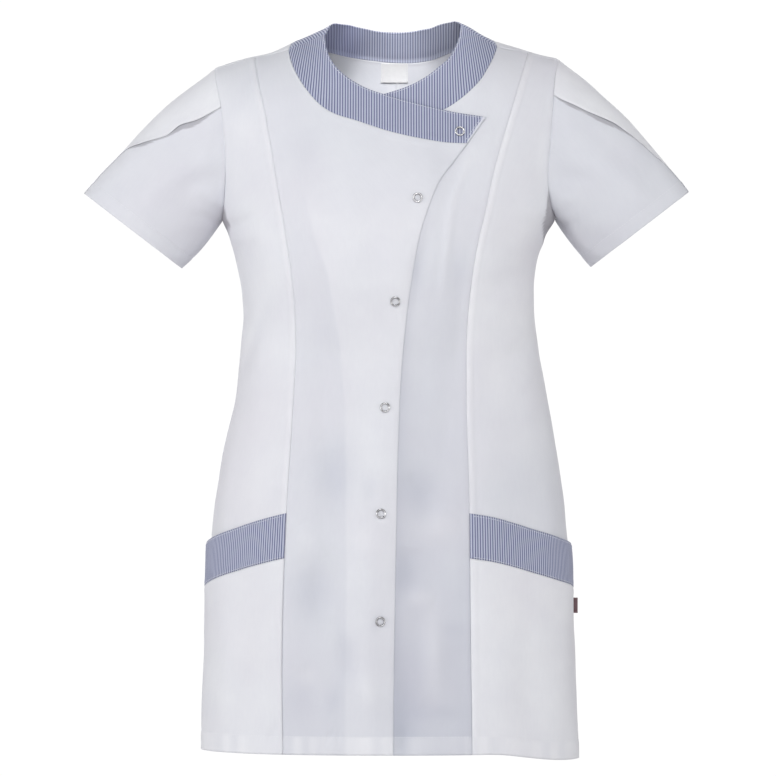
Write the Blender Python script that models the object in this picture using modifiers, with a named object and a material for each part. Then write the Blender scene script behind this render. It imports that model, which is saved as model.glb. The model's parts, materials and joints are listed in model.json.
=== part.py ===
# Work blouse: a white short-sleeved tunic with crossed snap fronts, a striped neck band, striped
# pocket bands and lapped sleeves. It is hollow and open, in the form that it has when it is worn.
# Metres, +Z up, the front faces -Y. Right and left are the wearer's, so right is at -X.
# The origin is midway between the shoulder tips, on the line where the shoulders carry it.

import math

import bmesh
import bpy
import numpy as np
from mathutils import Vector

COLLECTION = "work_blouse"
ROOT = "shoulder_line"

# Cloth
WALL = 0.0012
SEAM_GAP = 0.0004
SHOULDER_GAP = 0.0007  # wider, as these seams run along a bend
UNDERARM_GAP = 0.0010
ARMHOLE_GAP = 0.0008
LAYER_GAP = 0.0009  # between the crossed fronts, whose grids differ
LEAF_GAP = 0.0005  # between the two leaves of a sleeve
LAID_GAP = 0.0003  # under what is laid on a panel from its own points

# The worn form: front and back are two pillows that meet at the side lines and on the shoulders.
FRONT, BACK = -1, 1
RIGHT, LEFT = -1, 1
TURN_PROBE, RISE_PROBE = 0.01, 0.001  # reach over which the form's slope is taken
SQUARENESS = 2.4  # exponent of each section's outline, where 2 is an ellipse
FRONT_ROLL = 0.070  # height over which the front rounds up to the shoulder ridge
BACK_ROLL = 0.090
FINE_STEP = 0.001
SECTION_SOFTENING, RIDGE_SOFTENING = 0.014, 0.009
SECTION_COLUMNS = ("z", "middle", "half_width", "front_depth", "back_depth")
SECTIONS = (
    (-0.780, 0.000, 0.1970, 0.136, 0.134),
    (-0.720, 0.000, 0.1950, 0.133, 0.131),
    (-0.600, -0.001, 0.1910, 0.127, 0.124),
    (-0.503, -0.001, 0.1860, 0.121, 0.115),
    (-0.453, -0.001, 0.1810, 0.117, 0.107),
    (-0.403, 0.000, 0.1730, 0.114, 0.100),
    (-0.354, 0.001, 0.1630, 0.112, 0.095),
    (-0.304, -0.001, 0.1550, 0.114, 0.094),
    (-0.265, -0.001, 0.1512, 0.121, 0.099),
    (-0.229, -0.003, 0.1520, 0.127, 0.104),
    (-0.204, -0.004, 0.1565, 0.128, 0.108),
    (-0.179, -0.003, 0.1640, 0.125, 0.110),
    (-0.163, -0.001, 0.1735, 0.122, 0.111),
    (-0.140, -0.002, 0.1760, 0.117, 0.113),
    (-0.110, -0.003, 0.1800, 0.110, 0.114),
    (-0.070, -0.003, 0.1885, 0.097, 0.112),
    (-0.043, -0.003, 0.1970, 0.088, 0.110),
    (-0.014, -0.003, 0.2040, 0.080, 0.105),
    (0.007, -0.003, 0.2060, 0.076, 0.096),
    (0.020, -0.003, 0.2060, 0.072, 0.086),
    (0.037, -0.003, 0.2060, 0.067, 0.073),
    (0.060, -0.003, 0.2060, 0.062, 0.064),
    (0.200, -0.003, 0.2060, 0.056, 0.056),
)

# Top of the shoulders, carried on inside the neck so that the neck band stands up to it
RIDGE_COLUMNS = ("x", "z")
RIDGE = (
    (-0.240, -0.020),
    (-0.181, -0.004),
    (-0.151, 0.005),
    (-0.118, 0.015),
    (-0.085, 0.028),
    (-0.068, 0.036),
    (-0.060, 0.041),
    (-0.052, 0.052),
    (-0.040, 0.072),
    (-0.020, 0.101),
    (0.006, 0.130),
    (0.032, 0.103),
    (0.050, 0.076),
    (0.060, 0.054),
    (0.068, 0.0435),
    (0.073, 0.0415),
    (0.081, 0.039),
    (0.106, 0.025),
    (0.139, 0.014),
    (0.156, 0.009),
    (0.175, 0.005),
    (0.240, -0.012),
)

# Soft folds that show from a step away, as troughs (negative) and ridges down a bent line
FOLD_COLUMNS = ("face", "z_top", "z_low", "x_top", "x_middle", "x_low", "half_width", "depth")
FOLD_FADE = 0.35  # share of its length over which a fold grows at each end
FOLDS = (
    (FRONT, -0.190, -0.700, -0.088, -0.056, -0.052, 0.020, -0.0040),
    (FRONT, -0.230, -0.720, 0.020, -0.016, -0.014, 0.018, 0.0020),
    (FRONT, -0.240, -0.740, 0.056, 0.044, 0.040, 0.022, -0.0040),
    (FRONT, -0.300, -0.780, -0.150, -0.158, -0.160, 0.022, -0.0025),
    (FRONT, -0.300, -0.780, 0.130, 0.140, 0.146, 0.022, -0.0025),
    (BACK, -0.120, -0.470, -0.078, -0.070, -0.074, 0.018, -0.0040),
    (BACK, -0.120, -0.470, 0.078, 0.070, 0.074, 0.018, -0.0040),
    (BACK, -0.400, -0.800, -0.110, -0.112, -0.118, 0.026, 0.0040),
    (BACK, -0.400, -0.800, 0.108, 0.114, 0.120, 0.026, 0.0040),
    (BACK, -0.420, -0.800, 0.004, 0.004, 0.004, 0.030, -0.0035),
)

PANEL_SEAMS = {"right": SEAM_GAP, "left": SEAM_GAP, "top": SHOULDER_GAP}

# Rows of cloth up a panel: hem, pocket band, armpit, top
ROW_COUNTS = (5, 2, 13, 9)
SHOULDER_CROWDING = 0.40
ROW_CROWDING = (0.0, 0.0, 0.0, SHOULDER_CROWDING)
POCKET_ROWS = ROW_COUNTS[0]
BAND_ROWS = ROW_COUNTS[1]
ARM_ROWS = ROW_COUNTS[3]
HEM_Z = -0.711
BELOW_HEM_Z = -0.730  # the seams' lines run on to here
HEM_DROP = 0.009  # the left side hangs lower
HEM_DROP_FROM, HEM_DROP_TO = 0.100, 0.190
POCKET_LOW_FRONT, POCKET_TOP_FRONT = -0.511, -0.465
POCKET_LOW_SIDE, POCKET_TOP_SIDE = -0.546, -0.502
ARMPIT_Z = -0.163

# Seams as seen from in front, as (x, z) from the top down
PRINCESS_RIGHT = (
    (-0.140, 0.006),
    (-0.136, -0.020),
    (-0.128, -0.055),
    (-0.120, -0.102),
    (-0.106, -0.187),
    (-0.099, -0.240),
    (-0.097, -0.290),
    (-0.099, -0.345),
    (-0.106, -0.465),
    (-0.110, -0.600),
    (-0.109, BELOW_HEM_Z),
)
PRINCESS_LEFT = (
    (0.143, 0.010),
    (0.135, -0.018),
    (0.123, -0.058),
    (0.107, -0.112),
    (0.097, -0.158),
    (0.088, -0.198),
    (0.080, -0.262),
    (0.078, -0.330),
    (0.081, -0.450),
    (0.082, -0.560),
    (0.084, BELOW_HEM_Z),
)
CLOSING_EDGE = (
    (0.079, -0.087),
    (0.064, -0.107),
    (0.051, -0.125),
    (0.042, -0.145),
    (0.033, -0.171),
    (0.022, -0.226),
    (0.013, -0.300),
    (0.008, -0.400),
    (0.006, -0.500),
    (0.004, -0.620),
    (0.003, BELOW_HEM_Z),
)
HIDDEN_EDGE_X, HIDDEN_EDGE_MIDDLE_Z = -0.039, -0.300  # of the lower front, under the upper one
CENTRE_BACK_X_TOP, CENTRE_BACK_X_HEM = 0.007, 0.000

# Armholes from the shoulder seam to the armpit
ARMHOLE_FRONT_RIGHT = (
    (-0.182, -0.0065),
    (-0.181, -0.014),
    (-0.178, -0.028),
    (-0.1745, -0.045),
    (-0.172, -0.070),
    (-0.1695, -0.105),
    (-0.1702, -0.131),
    (-0.1722, -0.150),
    (-0.1740, -0.163),
)
ARMHOLE_FRONT_LEFT = (
    (0.1745, 0.0020),
    (0.1715, -0.010),
    (0.169, -0.033),
    (0.167, -0.060),
    (0.1645, -0.090),
    (0.1625, -0.122),
    (0.1662, -0.146),
    (0.1725, -0.163),
)
ARMHOLE_BACK_OUT = 0.003  # the back armhole is cut this much shallower

# The shoulder seams lie a little in front of the ridge
SHOULDER_TIP_RIGHT_X, SHOULDER_TIP_LEFT_X = -0.182, 0.1745
SHOULDER_SEAM_COLUMNS = ("x", "z")
SHOULDER_SEAM = (
    (-0.182, -0.0065),
    (-0.140, 0.0060),
    (-0.105, 0.0135),
    (-0.067, 0.0290),
    (0.073, 0.0395),
    (0.111, 0.0165),
    (0.143, 0.0100),
    (0.1745, 0.0020),
)

# Neck bands: outer edge on the panels, and inner edge round the neck
BAND_OUTER_RIGHT = (
    (-0.105, 0.0135),
    (-0.1035, 0.005),
    (-0.098, -0.010),
    (-0.083, -0.034),
    (-0.071, -0.047),
    (-0.059, -0.055),
    (-0.033, -0.064),
    (0.006, -0.0765),
    (0.048, -0.085),
    (0.079, -0.087),
)
BAND_INNER_RIGHT = (
    (-0.067, 0.0290),
    (-0.0665, 0.020),
    (-0.064, 0.009),
    (-0.057, -0.005),
    (-0.0455, -0.017),
    (-0.030, -0.027),
    (0.005, -0.0395),
    (0.036, -0.048),
    (0.073, -0.056),
    (0.098, -0.060),
)
BAND_OUTER_LEFT = (
    (0.111, 0.0165),
    (0.109, 0.010),
    (0.101, -0.007),
    (0.093, -0.020),
    (0.075, -0.038),
    (0.056, -0.051),
    (0.020, -0.064),
    (-0.039, -0.077),
)
BAND_INNER_LEFT = (
    (0.073, 0.0395),
    (0.072, 0.028),
    (0.066, 0.012),
    (0.061, 0.003),
    (0.051, -0.0065),
    (0.036, -0.018),
    (0.0165, -0.028),
    (0.000, -0.0335),
    (-0.039, -0.043),
)
BAND_LOW_BACK = (
    (-0.095, 0.018),
    (-0.080, 0.017),
    (-0.063, 0.0155),
    (-0.045, 0.0125),
    (-0.020, 0.009),
    (0.007, 0.007),
    (0.030, 0.0075),
    (0.050, 0.011),
    (0.066, 0.016),
    (0.084, 0.021),
    (0.100, 0.023),
)
BAND_TOP_BACK = (
    (-0.052, 0.0440),
    (-0.040, 0.0435),
    (-0.024, 0.0405),
    (0.006, 0.0375),
    (0.030, 0.0395),
    (0.048, 0.0430),
    (0.062, 0.0450),
)
BAND_ACROSS = 3
SIDE_CELLS, SHOULDER_CELLS = 6, 2
BAND_CELLS_RIGHT, BAND_CELLS_LEFT, BAND_CELLS_HALF_BACK = 13, 10, 7

# The upper front rises off the form where the lower one lies beneath it
RISE_FROM_X, RISE_TO_X = -0.092, -0.046
UPPER_FRONT_LIFT = WALL + LAYER_GAP

# Sleeves: the cuff's two corners as seen from in front, and its depth
CUFF_TOP_RIGHT, CUFF_LOW_RIGHT = (-0.3175, -0.1352), (-0.216, -0.213)
CUFF_TOP_LEFT, CUFF_LOW_LEFT = (0.3100, -0.1338), (0.209, -0.211)
CUFF_DEPTH = 0.082
SWELL_RIGHT, SWELL_LEFT = (0.0073, 0.0020), (0.0095, 0.0020)  # at the top and underneath
SWELL_SHIFT = 0.85  # under 1 brings the fullest place nearer to the armhole
PROBE_STEP, PROBE_ALONG = 0.3, 0.02  # reach over which a sleeve's slope is taken
SLEEVE_ROWS = (0.0, 0.04, 0.16, 0.30, 0.45, 0.60, 0.74, 0.88, 1.0)
RING = 2 * ARM_ROWS  # steps round the armhole, from the shoulder seam down the front
FREE_EDGE_COLUMNS = ("along", "step")
FREE_EDGE_RIGHT = (
    (0.00, 3.40),
    (0.15, 3.02),
    (0.40, 2.32),
    (0.60, 1.40),
    (0.75, 0.80),
    (1.00, 0.55),
)
FREE_EDGE_LEFT = (
    (0.00, 2.92),
    (0.28, 2.22),
    (0.46, 1.75),
    (0.66, 1.05),
    (0.80, 0.50),
    (1.00, 0.15),
)
HIDDEN_STEP = -2.2  # where the lower leaf ends beneath the upper one, past the top of the sleeve
LAP_CELLS, FRONT_LEAF_CELLS, TOP_LEAF_CELLS = 5, 7, 8
LAP_TAPER = 1.0  # steps before the hidden edge over which the upper leaf comes down
LEAF_LIFT = WALL + LEAF_GAP
LEAF_DIP = 0.0009  # share of that lift that the lower leaf gives by sinking
LEAF_STAND = 0.0035  # how far the free edge stands off half way down
FREE_EDGE_SOFTENING = 0.10

# Pockets stand off a little at the mouth, near the side seams
POCKET_LIFT = WALL + LAID_GAP
GAPE_RIGHT, GAPE_LEFT = 0.0050, 0.0030
GAPE_TURN, GAPE_TURN_WIDTH = math.radians(78), math.radians(15)
GAPE_REACH = 0.070

# Ring snaps down the closing edge, the top one on the neck band
SNAPS = ((0.0713, -0.0746), (0.0280, -0.1436), (0.0053, -0.2485), (-0.0051, -0.3569),
         (-0.0092, -0.4655), (-0.0098, -0.5752))
SNAP_RADIUS = 0.00445
SNAP_WIRE = 0.00080
SNAP_SEAT = 0.0005
SNAP_CELLS_ROUND, SNAP_CELLS_WIRE = 18, 5

# Small pieces
LABEL_X, LABEL_Z = (-0.0095, 0.0190), (-0.0135, 0.0070)
LABEL_WALL, LABEL_GAP = 0.0010, 0.0008
LABEL_CELLS = (4, 3)
TAB_SIZE = (0.0062, 0.0010, 0.0160)
TAB_MIDDLE = (0.1922, 0.0009, -0.5630)

SHARP_ANGLE = math.radians(50)
MATERIALS = {
    "white_cloth": ((0.80, 0.81, 0.84), 0.85, 0.0),
    "striped_cloth": ((0.30, 0.32, 0.47), 0.85, 0.0),
    "snap_metal": ((0.72, 0.72, 0.74), 0.35, 1.0),
    "label_cloth": ((0.83, 0.83, 0.84), 0.60, 0.0),
    "tab_cloth": ((0.14, 0.055, 0.06), 0.70, 0.0),
}


# Tables and curves


def column(table, columns, name):
    return np.array([row[columns.index(name)] for row in table])


def softened(xs, ys, reach):
    """The table as close-spaced points, its corners rounded off over the given reach."""
    fine = np.arange(xs[0], xs[-1], FINE_STEP)
    count = max(3, round(2 * reach / FINE_STEP) | 1)
    window = np.hanning(count + 2)[1:-1]
    half = count // 2
    values = np.interp(fine, xs, ys)
    ends = (2 * values[0] - values[half:0:-1], 2 * values[-1] - values[-2 : -half - 2 : -1])
    padded = np.concatenate([ends[0], values, ends[1]])
    return fine, np.convolve(padded, window / window.sum(), mode="valid")


def section_profile(name):
    xs = column(SECTIONS, SECTION_COLUMNS, "z")
    fine, values = softened(xs, column(SECTIONS, SECTION_COLUMNS, name), SECTION_SOFTENING)
    return lambda z: np.interp(z, fine, values)


MIDDLE = section_profile("middle")
HALF_WIDTH = section_profile("half_width")
FRONT_DEPTH = section_profile("front_depth")
BACK_DEPTH = section_profile("back_depth")
RIDGE_X, RIDGE_Z = softened(
    column(RIDGE, RIDGE_COLUMNS, "x"), column(RIDGE, RIDGE_COLUMNS, "z"), RIDGE_SOFTENING
)
SEAM_X = column(SHOULDER_SEAM, SHOULDER_SEAM_COLUMNS, "x")
SEAM_Z = column(SHOULDER_SEAM, SHOULDER_SEAM_COLUMNS, "z")


def ridge(x):
    return np.interp(x, RIDGE_X, RIDGE_Z)


def blend(value, start, end):
    t = np.clip((value - start) / (end - start), 0, 1)
    return t * t * (3 - 2 * t)


def curve_through(points, per_span=24):
    """A smooth curve through a few points, as close-spaced points."""
    points = np.asarray(points, float)
    chords = np.linalg.norm(np.diff(points, axis=0), axis=1)
    knots = np.concatenate([[0], np.cumsum(chords)])
    secants = np.diff(points, axis=0) / chords[:, None]
    slopes = np.concatenate([secants[:1], secants, secants[-1:]])
    weights = np.concatenate([chords[:1], chords, chords[-1:]])[:, None]
    slopes = (slopes[:-1] * weights[1:] + slopes[1:] * weights[:-1]) / (weights[1:] + weights[:-1])
    out = []
    for i, span in enumerate(chords):
        t = np.linspace(0, 1, per_span, endpoint=False)[:, None]
        out.append(
            (1 + 2 * t) * (1 - t) ** 2 * points[i]
            + t * (1 - t) ** 2 * span * slopes[i]
            + t * t * (3 - 2 * t) * points[i + 1]
            + t * t * (t - 1) * span * slopes[i + 1]
        )
    return np.concatenate(out + [points[-1:]])


# The worn form. A place on it is a turn from the middle, in radians, up to a quarter turn at
# each side line, and a rise, which is the height measured along the cloth over the shoulder.


def roll(face):
    return np.where(np.asarray(face) == FRONT, FRONT_ROLL, BACK_ROLL)


def crest(face, x):
    """The rise at which this face meets the other one on the shoulder ridge."""
    return ridge(x) + roll(face) * (math.pi / 2 - 1)


def form(face, turn, rise):
    face, turn, rise = np.broadcast_arrays(face, turn, rise)
    past_side = np.abs(turn) > math.pi / 2
    face = np.where(past_side, -face, face)
    turn = np.where(past_side, np.sign(turn) * math.pi - turn, turn)
    power = 2 / SQUARENESS
    x = MIDDLE(rise) + HALF_WIDTH(rise) * np.sign(turn) * np.abs(np.sin(turn)) ** power
    over = rise - crest(face, x)
    face = np.where(over > 0, -face, face)
    rise = np.where(over > 0, crest(face, x) - over, rise)
    start = ridge(x) - roll(face)
    angle = np.clip((rise - start) / roll(face), 0, math.pi / 2)
    z = np.where(angle > 0, start + roll(face) * np.sin(angle), rise)
    depth = np.where(face == FRONT, FRONT_DEPTH(z), BACK_DEPTH(z))
    y = face * depth * np.abs(np.cos(turn)) ** power * np.cos(angle)
    return np.stack([x, y, z], axis=-1)


def outward(face, turn, rise):
    sign = 1 if face == FRONT else -1
    across = form(face, turn + TURN_PROBE, rise) - form(face, turn - TURN_PROBE, rise)
    up = form(face, turn, rise + RISE_PROBE) - form(face, turn, rise - RISE_PROBE)
    normal = np.cross(across, up) * sign
    return normal / np.linalg.norm(normal, axis=-1, keepdims=True)


def place(face, points, seen=None):
    """Turn and rise, on a panel of one face, of points seen at (x, z) on this face or the other."""
    x, z = np.asarray(points, float).T
    seen = face if seen is None else seen
    start = ridge(x) - roll(seen)
    share = np.clip((z - start) / roll(seen), 0, 1)
    rise = np.where(share > 0, start + roll(seen) * np.arcsin(share), z)
    if seen != face:
        rise = crest(face, x) + crest(seen, x) - rise
    ratio = np.clip((x - MIDDLE(rise)) / HALF_WIDTH(rise), -1, 1)
    turn = np.sign(ratio) * np.arcsin(np.abs(ratio) ** (SQUARENESS / 2))
    return np.stack([turn, rise], axis=-1)


def folds(face, point):
    """Height of the soft folds at a point of one face."""
    x, z = point[..., 0], point[..., 2]
    total = np.zeros(x.shape)
    for row in FOLDS:
        fold = dict(zip(FOLD_COLUMNS, row))
        if fold["face"] != face:
            continue
        t = (z - fold["z_top"]) / (fold["z_low"] - fold["z_top"])
        bend = fold["x_middle"] - (fold["x_top"] + fold["x_low"]) / 2
        line = fold["x_top"] + (fold["x_low"] - fold["x_top"]) * t + 4 * bend * t * (1 - t)
        fade = blend(t, 0, FOLD_FADE) * blend(t, 1, 1 - FOLD_FADE)
        total += fold["depth"] * fade * np.exp(-(((x - line) / fold["half_width"]) ** 2))
    return total


def upper_lift(x):
    return UPPER_FRONT_LIFT * blend(x, RISE_FROM_X, RISE_TO_X)


def cloth(face, places, upper=False):
    """Outer points of a panel, and its outward directions, at a grid of turns and rises."""
    turn, rise = places[..., 0], places[..., 1]
    point = form(face, turn, rise)
    normal = outward(face, turn, rise)
    height = folds(face, point)
    if upper:
        height = height + upper_lift(point[..., 0])
    return point + normal * height[..., None], normal


# Grids


def crowded(share, crowding):
    return share * (1 + crowding * (1 - share))


def evenly(face, places, count, crowding=0.0):
    """Places along a dense line, in equal steps along the cloth or crowded towards its end."""
    points = form(face, places[:, 0], places[:, 1])
    along = np.concatenate([[0], np.cumsum(np.linalg.norm(np.diff(points, axis=0), axis=1))])
    at = along[-1] * crowded(np.linspace(0, 1, count + 1), crowding)
    return np.stack([np.interp(at, along, places[:, i]) for i in range(2)], axis=-1)


def patch(right, left, low, top, top_rows=None):
    """A grid of places between four edges: rows go up, columns from the wearer's right to left.
    The shape of the top edge fades out over the given number of rows below it."""
    rows, columns = len(right), len(low)
    u = np.linspace(0, 1, columns)[None, :, None]
    v = np.linspace(0, 1, rows)[:, None, None]
    count = rows - 1 if top_rows is None else top_rows
    near_top = np.clip((np.arange(rows) - (rows - 1 - count)) / count, 0, 1)[:, None, None]
    low_shape = low[None] - ((1 - u) * low[0] + u * low[-1])
    top_shape = top[None] - ((1 - u) * top[0] + u * top[-1])
    sides = (1 - u) * right[:, None] + u * left[:, None]
    return sides + (1 - v) * low_shape + near_top * top_shape


def levels(marks):
    heights = [marks[0]]
    for low, top, count, crowding in zip(marks, marks[1:], ROW_COUNTS, ROW_CROWDING):
        heights.extend(low + (top - low) * crowded(np.linspace(0, 1, count + 1)[1:], crowding))
    return np.array(heights)


def hem(x):
    return HEM_Z - HEM_DROP * blend(x, HEM_DROP_FROM, HEM_DROP_TO)


def hem_line(face, turns):
    x = form(face, turns, np.full(len(turns), HEM_Z))[:, 0]
    return np.stack([turns, hem(x)], axis=-1)


def upright(face, points, low=POCKET_LOW_FRONT, top=POCKET_TOP_FRONT):
    """An upright seam's places at each row, from its (x, z) points read top down."""
    line = curve_through(points)
    start = place(face, line[:1])[0, 1]
    base = hem(line[-1, 0])
    heights = levels((base, low, top, ARMPIT_Z, start))
    rises = place(face, line)[:, 1]
    x = np.interp(heights, rises[::-1], line[::-1, 0])
    z = np.interp(heights, rises[::-1], line[::-1, 1])
    return place(face, np.stack([x, z], axis=-1))


def side_seam(side):
    """Places up the side line to the armpit."""
    base = hem(side * HALF_WIDTH(HEM_Z))
    heights = levels((base, POCKET_LOW_SIDE, POCKET_TOP_SIDE, ARMPIT_Z, 0.0))[: -ARM_ROWS]
    return np.stack([np.full(len(heights), side * math.pi / 2), heights], axis=-1)


def armhole(face, side):
    """Places from the armpit up to the shoulder seam."""
    front = ARMHOLE_FRONT_RIGHT if side == RIGHT else ARMHOLE_FRONT_LEFT
    line = curve_through(front, per_span=80)
    if face == FRONT:
        places = place(FRONT, line)
    else:
        out = side * ARMHOLE_BACK_OUT * np.sin(math.pi * np.linspace(0, 1, len(line)))
        start = ridge(line[0, 0])
        stretch = np.linspace(start - line[0, 1], 0, len(line))
        places = place(BACK, line + np.stack([out, stretch], axis=-1))
        over = place(BACK, line[:1], seen=FRONT)
        places = np.concatenate([over, places])
    places = places[::-1]
    places[0] = (side * math.pi / 2, ARMPIT_Z)
    return evenly(face, places, ARM_ROWS, SHOULDER_CROWDING)


def side_edge(face, side):
    return np.concatenate([side_seam(side)[:-1], armhole(face, side)])


def shoulder_seam(face, x_from, x_to, count):
    x = np.linspace(x_from, x_to, count + 1)
    return place(face, np.stack([x, np.interp(x, SEAM_X, SEAM_Z)], axis=-1), seen=FRONT)


def band_edge(points, count):
    return evenly(FRONT, place(FRONT, curve_through(points)), count)


def back_band_edge(points, right_end, left_end, count_right, count_left, split_x):
    """An edge of the back band, from one front seam over both shoulders to the other."""
    places = np.concatenate([
        place(BACK, [right_end], seen=FRONT),
        place(BACK, points),
        place(BACK, [left_end], seen=FRONT),
    ])
    line = curve_through(places)
    x = form(BACK, line[:, 0], line[:, 1])[:, 0]
    split = int(np.argmin(np.abs(x - split_x)))
    first = evenly(BACK, line[: split + 1], count_right)
    second = evenly(BACK, line[split:], count_left)
    return first, second


# Solids


def material(name):
    found = bpy.data.materials.get(name)
    if found:
        return found
    colour, roughness, metallic = MATERIALS[name]
    made = bpy.data.materials.new(name)
    made.use_nodes = True
    shader = made.node_tree.nodes["Principled BSDF"]
    shader.inputs["Base Color"].default_value = (*colour, 1)
    shader.inputs["Roughness"].default_value = roughness
    shader.inputs["Metallic"].default_value = metallic
    made.diffuse_color = (*colour, 1)
    return made


def finished(obj, name, material_name):
    obj.name = name
    obj.data.name = name
    obj.data.materials.clear()
    obj.data.materials.append(material(material_name))
    obj.data.shade_smooth()
    obj.data.set_sharp_from_angle(angle=SHARP_ANGLE)
    for other in obj.users_collection:
        other.objects.unlink(obj)
    bpy.data.collections[COLLECTION].objects.link(obj)
    obj.parent = bpy.data.objects[ROOT]
    return obj


def drawn_in(grid, seams):
    """The grid with its sewn edges drawn in by half their seam gaps, along the cloth."""
    moved = grid.copy()
    edges = {
        "right": ((slice(None), 0), (slice(None), 1)),
        "left": ((slice(None), -1), (slice(None), -2)),
        "low": (0, 1),
        "top": (-1, -2),
    }
    for seam, gap in seams.items():
        edge, beside = edges[seam]
        step = grid[beside] - grid[edge]
        moved[edge] += step / np.linalg.norm(step, axis=-1, keepdims=True) * gap / 2
    return moved


def shell(name, material_name, grid, normals, seams, wall=WALL):
    """A sheet laid on a grid of outer points and given its wall on the inner side."""
    rows, columns = grid.shape[:2]
    outer = drawn_in(grid, seams)
    middle = outer.mean(axis=(0, 1))
    sheet = bmesh.new()
    bmesh.ops.create_grid(sheet, x_segments=columns - 1, y_segments=rows - 1, size=1)
    for vertex in sheet.verts:
        column = round((vertex.co.x + 1) / 2 * (columns - 1))
        row = round((vertex.co.y + 1) / 2 * (rows - 1))
        vertex.co = outer[row, column] - middle
    sheet.normal_update()
    sheet.faces.ensure_lookup_table()
    if sheet.faces[0].normal.dot(Vector(normals[0, 0])) < 0:
        bmesh.ops.reverse_faces(sheet, faces=sheet.faces)
    mesh = bpy.data.meshes.new(name)
    sheet.to_mesh(mesh)
    sheet.free()
    made = bpy.data.objects.new(name, mesh)
    made.location = middle
    thickness = made.modifiers.new("Wall", "SOLIDIFY")
    thickness.thickness = wall
    thickness.offset = -1
    return finished(made, name, material_name)


# Pieces


def front_side(side, name):
    princess = PRINCESS_RIGHT if side == RIGHT else PRINCESS_LEFT
    tip = SHOULDER_TIP_RIGHT_X if side == RIGHT else SHOULDER_TIP_LEFT_X
    outer_edge = side_edge(FRONT, side)
    seam = upright(FRONT, princess)
    low = hem_line(FRONT, np.linspace(outer_edge[0, 0], seam[0, 0], SIDE_CELLS + 1))
    top = shoulder_seam(FRONT, tip, princess[0][0], SIDE_CELLS)
    low[0], low[-1], top[0], top[-1] = outer_edge[0], seam[0], outer_edge[-1], seam[-1]
    if side == RIGHT:
        places = patch(outer_edge, seam, low, top, ARM_ROWS)
    else:
        places = patch(seam, outer_edge, low[::-1], top[::-1], ARM_ROWS)
    grid, normals = cloth(FRONT, places)
    shell(name, "white_cloth", grid, normals, PANEL_SEAMS)
    return places, grid, normals


def front_centre_right(name):
    seam = upright(FRONT, PRINCESS_RIGHT)
    edge = upright(FRONT, CLOSING_EDGE)
    corner_x = BAND_OUTER_RIGHT[0][0]
    top = np.concatenate([
        shoulder_seam(FRONT, PRINCESS_RIGHT[0][0], corner_x, SHOULDER_CELLS)[:-1],
        band_edge(BAND_OUTER_RIGHT, BAND_CELLS_RIGHT),
    ])
    low = hem_line(FRONT, np.linspace(seam[0, 0], edge[0, 0], len(top)))
    top[0], top[-1], low[0], low[-1] = seam[-1], edge[-1], seam[0], edge[0]
    grid, normals = cloth(FRONT, patch(seam, edge, low, top, ARM_ROWS), upper=True)
    shell(name, "white_cloth", grid, normals, {"right": SEAM_GAP, "top": SHOULDER_GAP})


def front_centre_left(name):
    seam = upright(FRONT, PRINCESS_LEFT)
    end = BAND_OUTER_LEFT[-1]
    edge = upright(FRONT, (end, (HIDDEN_EDGE_X, HIDDEN_EDGE_MIDDLE_Z), (HIDDEN_EDGE_X, BELOW_HEM_Z)))
    corner_x = BAND_OUTER_LEFT[0][0]
    top = np.concatenate([
        band_edge(BAND_OUTER_LEFT, BAND_CELLS_LEFT)[::-1][:-1],
        shoulder_seam(FRONT, corner_x, PRINCESS_LEFT[0][0], SHOULDER_CELLS),
    ])
    low = hem_line(FRONT, np.linspace(edge[0, 0], seam[0, 0], len(top)))
    top[0], top[-1], low[0], low[-1] = edge[-1], seam[-1], edge[0], seam[0]
    grid, normals = cloth(FRONT, patch(edge, seam, low, top, ARM_ROWS))
    shell(name, "white_cloth", grid, normals, {"left": SEAM_GAP, "top": SHOULDER_GAP})


def front_band(name, outer_points, inner_points, cells, upper):
    outer_edge = band_edge(outer_points, cells)
    inner_edge = band_edge(inner_points, cells)
    shoulder = shoulder_seam(FRONT, outer_points[0][0], inner_points[0][0], BAND_ACROSS)
    front_end = np.linspace(outer_edge[-1], inner_edge[-1], BAND_ACROSS + 1)
    outer_edge[0], inner_edge[0] = shoulder[0], shoulder[-1]
    seams = {"low": SEAM_GAP, "right" if upper else "left": SHOULDER_GAP}
    if upper:
        places = patch(shoulder, front_end, outer_edge, inner_edge)
    else:
        places = patch(front_end, shoulder, outer_edge[::-1], inner_edge[::-1])
    grid, normals = cloth(FRONT, places, upper=upper)
    shell(name, "striped_cloth", grid, normals, seams)


def back_band_low():
    return back_band_edge(BAND_LOW_BACK, BAND_OUTER_RIGHT[0], BAND_OUTER_LEFT[0],
                          BAND_CELLS_HALF_BACK, BAND_CELLS_HALF_BACK, CENTRE_BACK_X_TOP)


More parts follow.
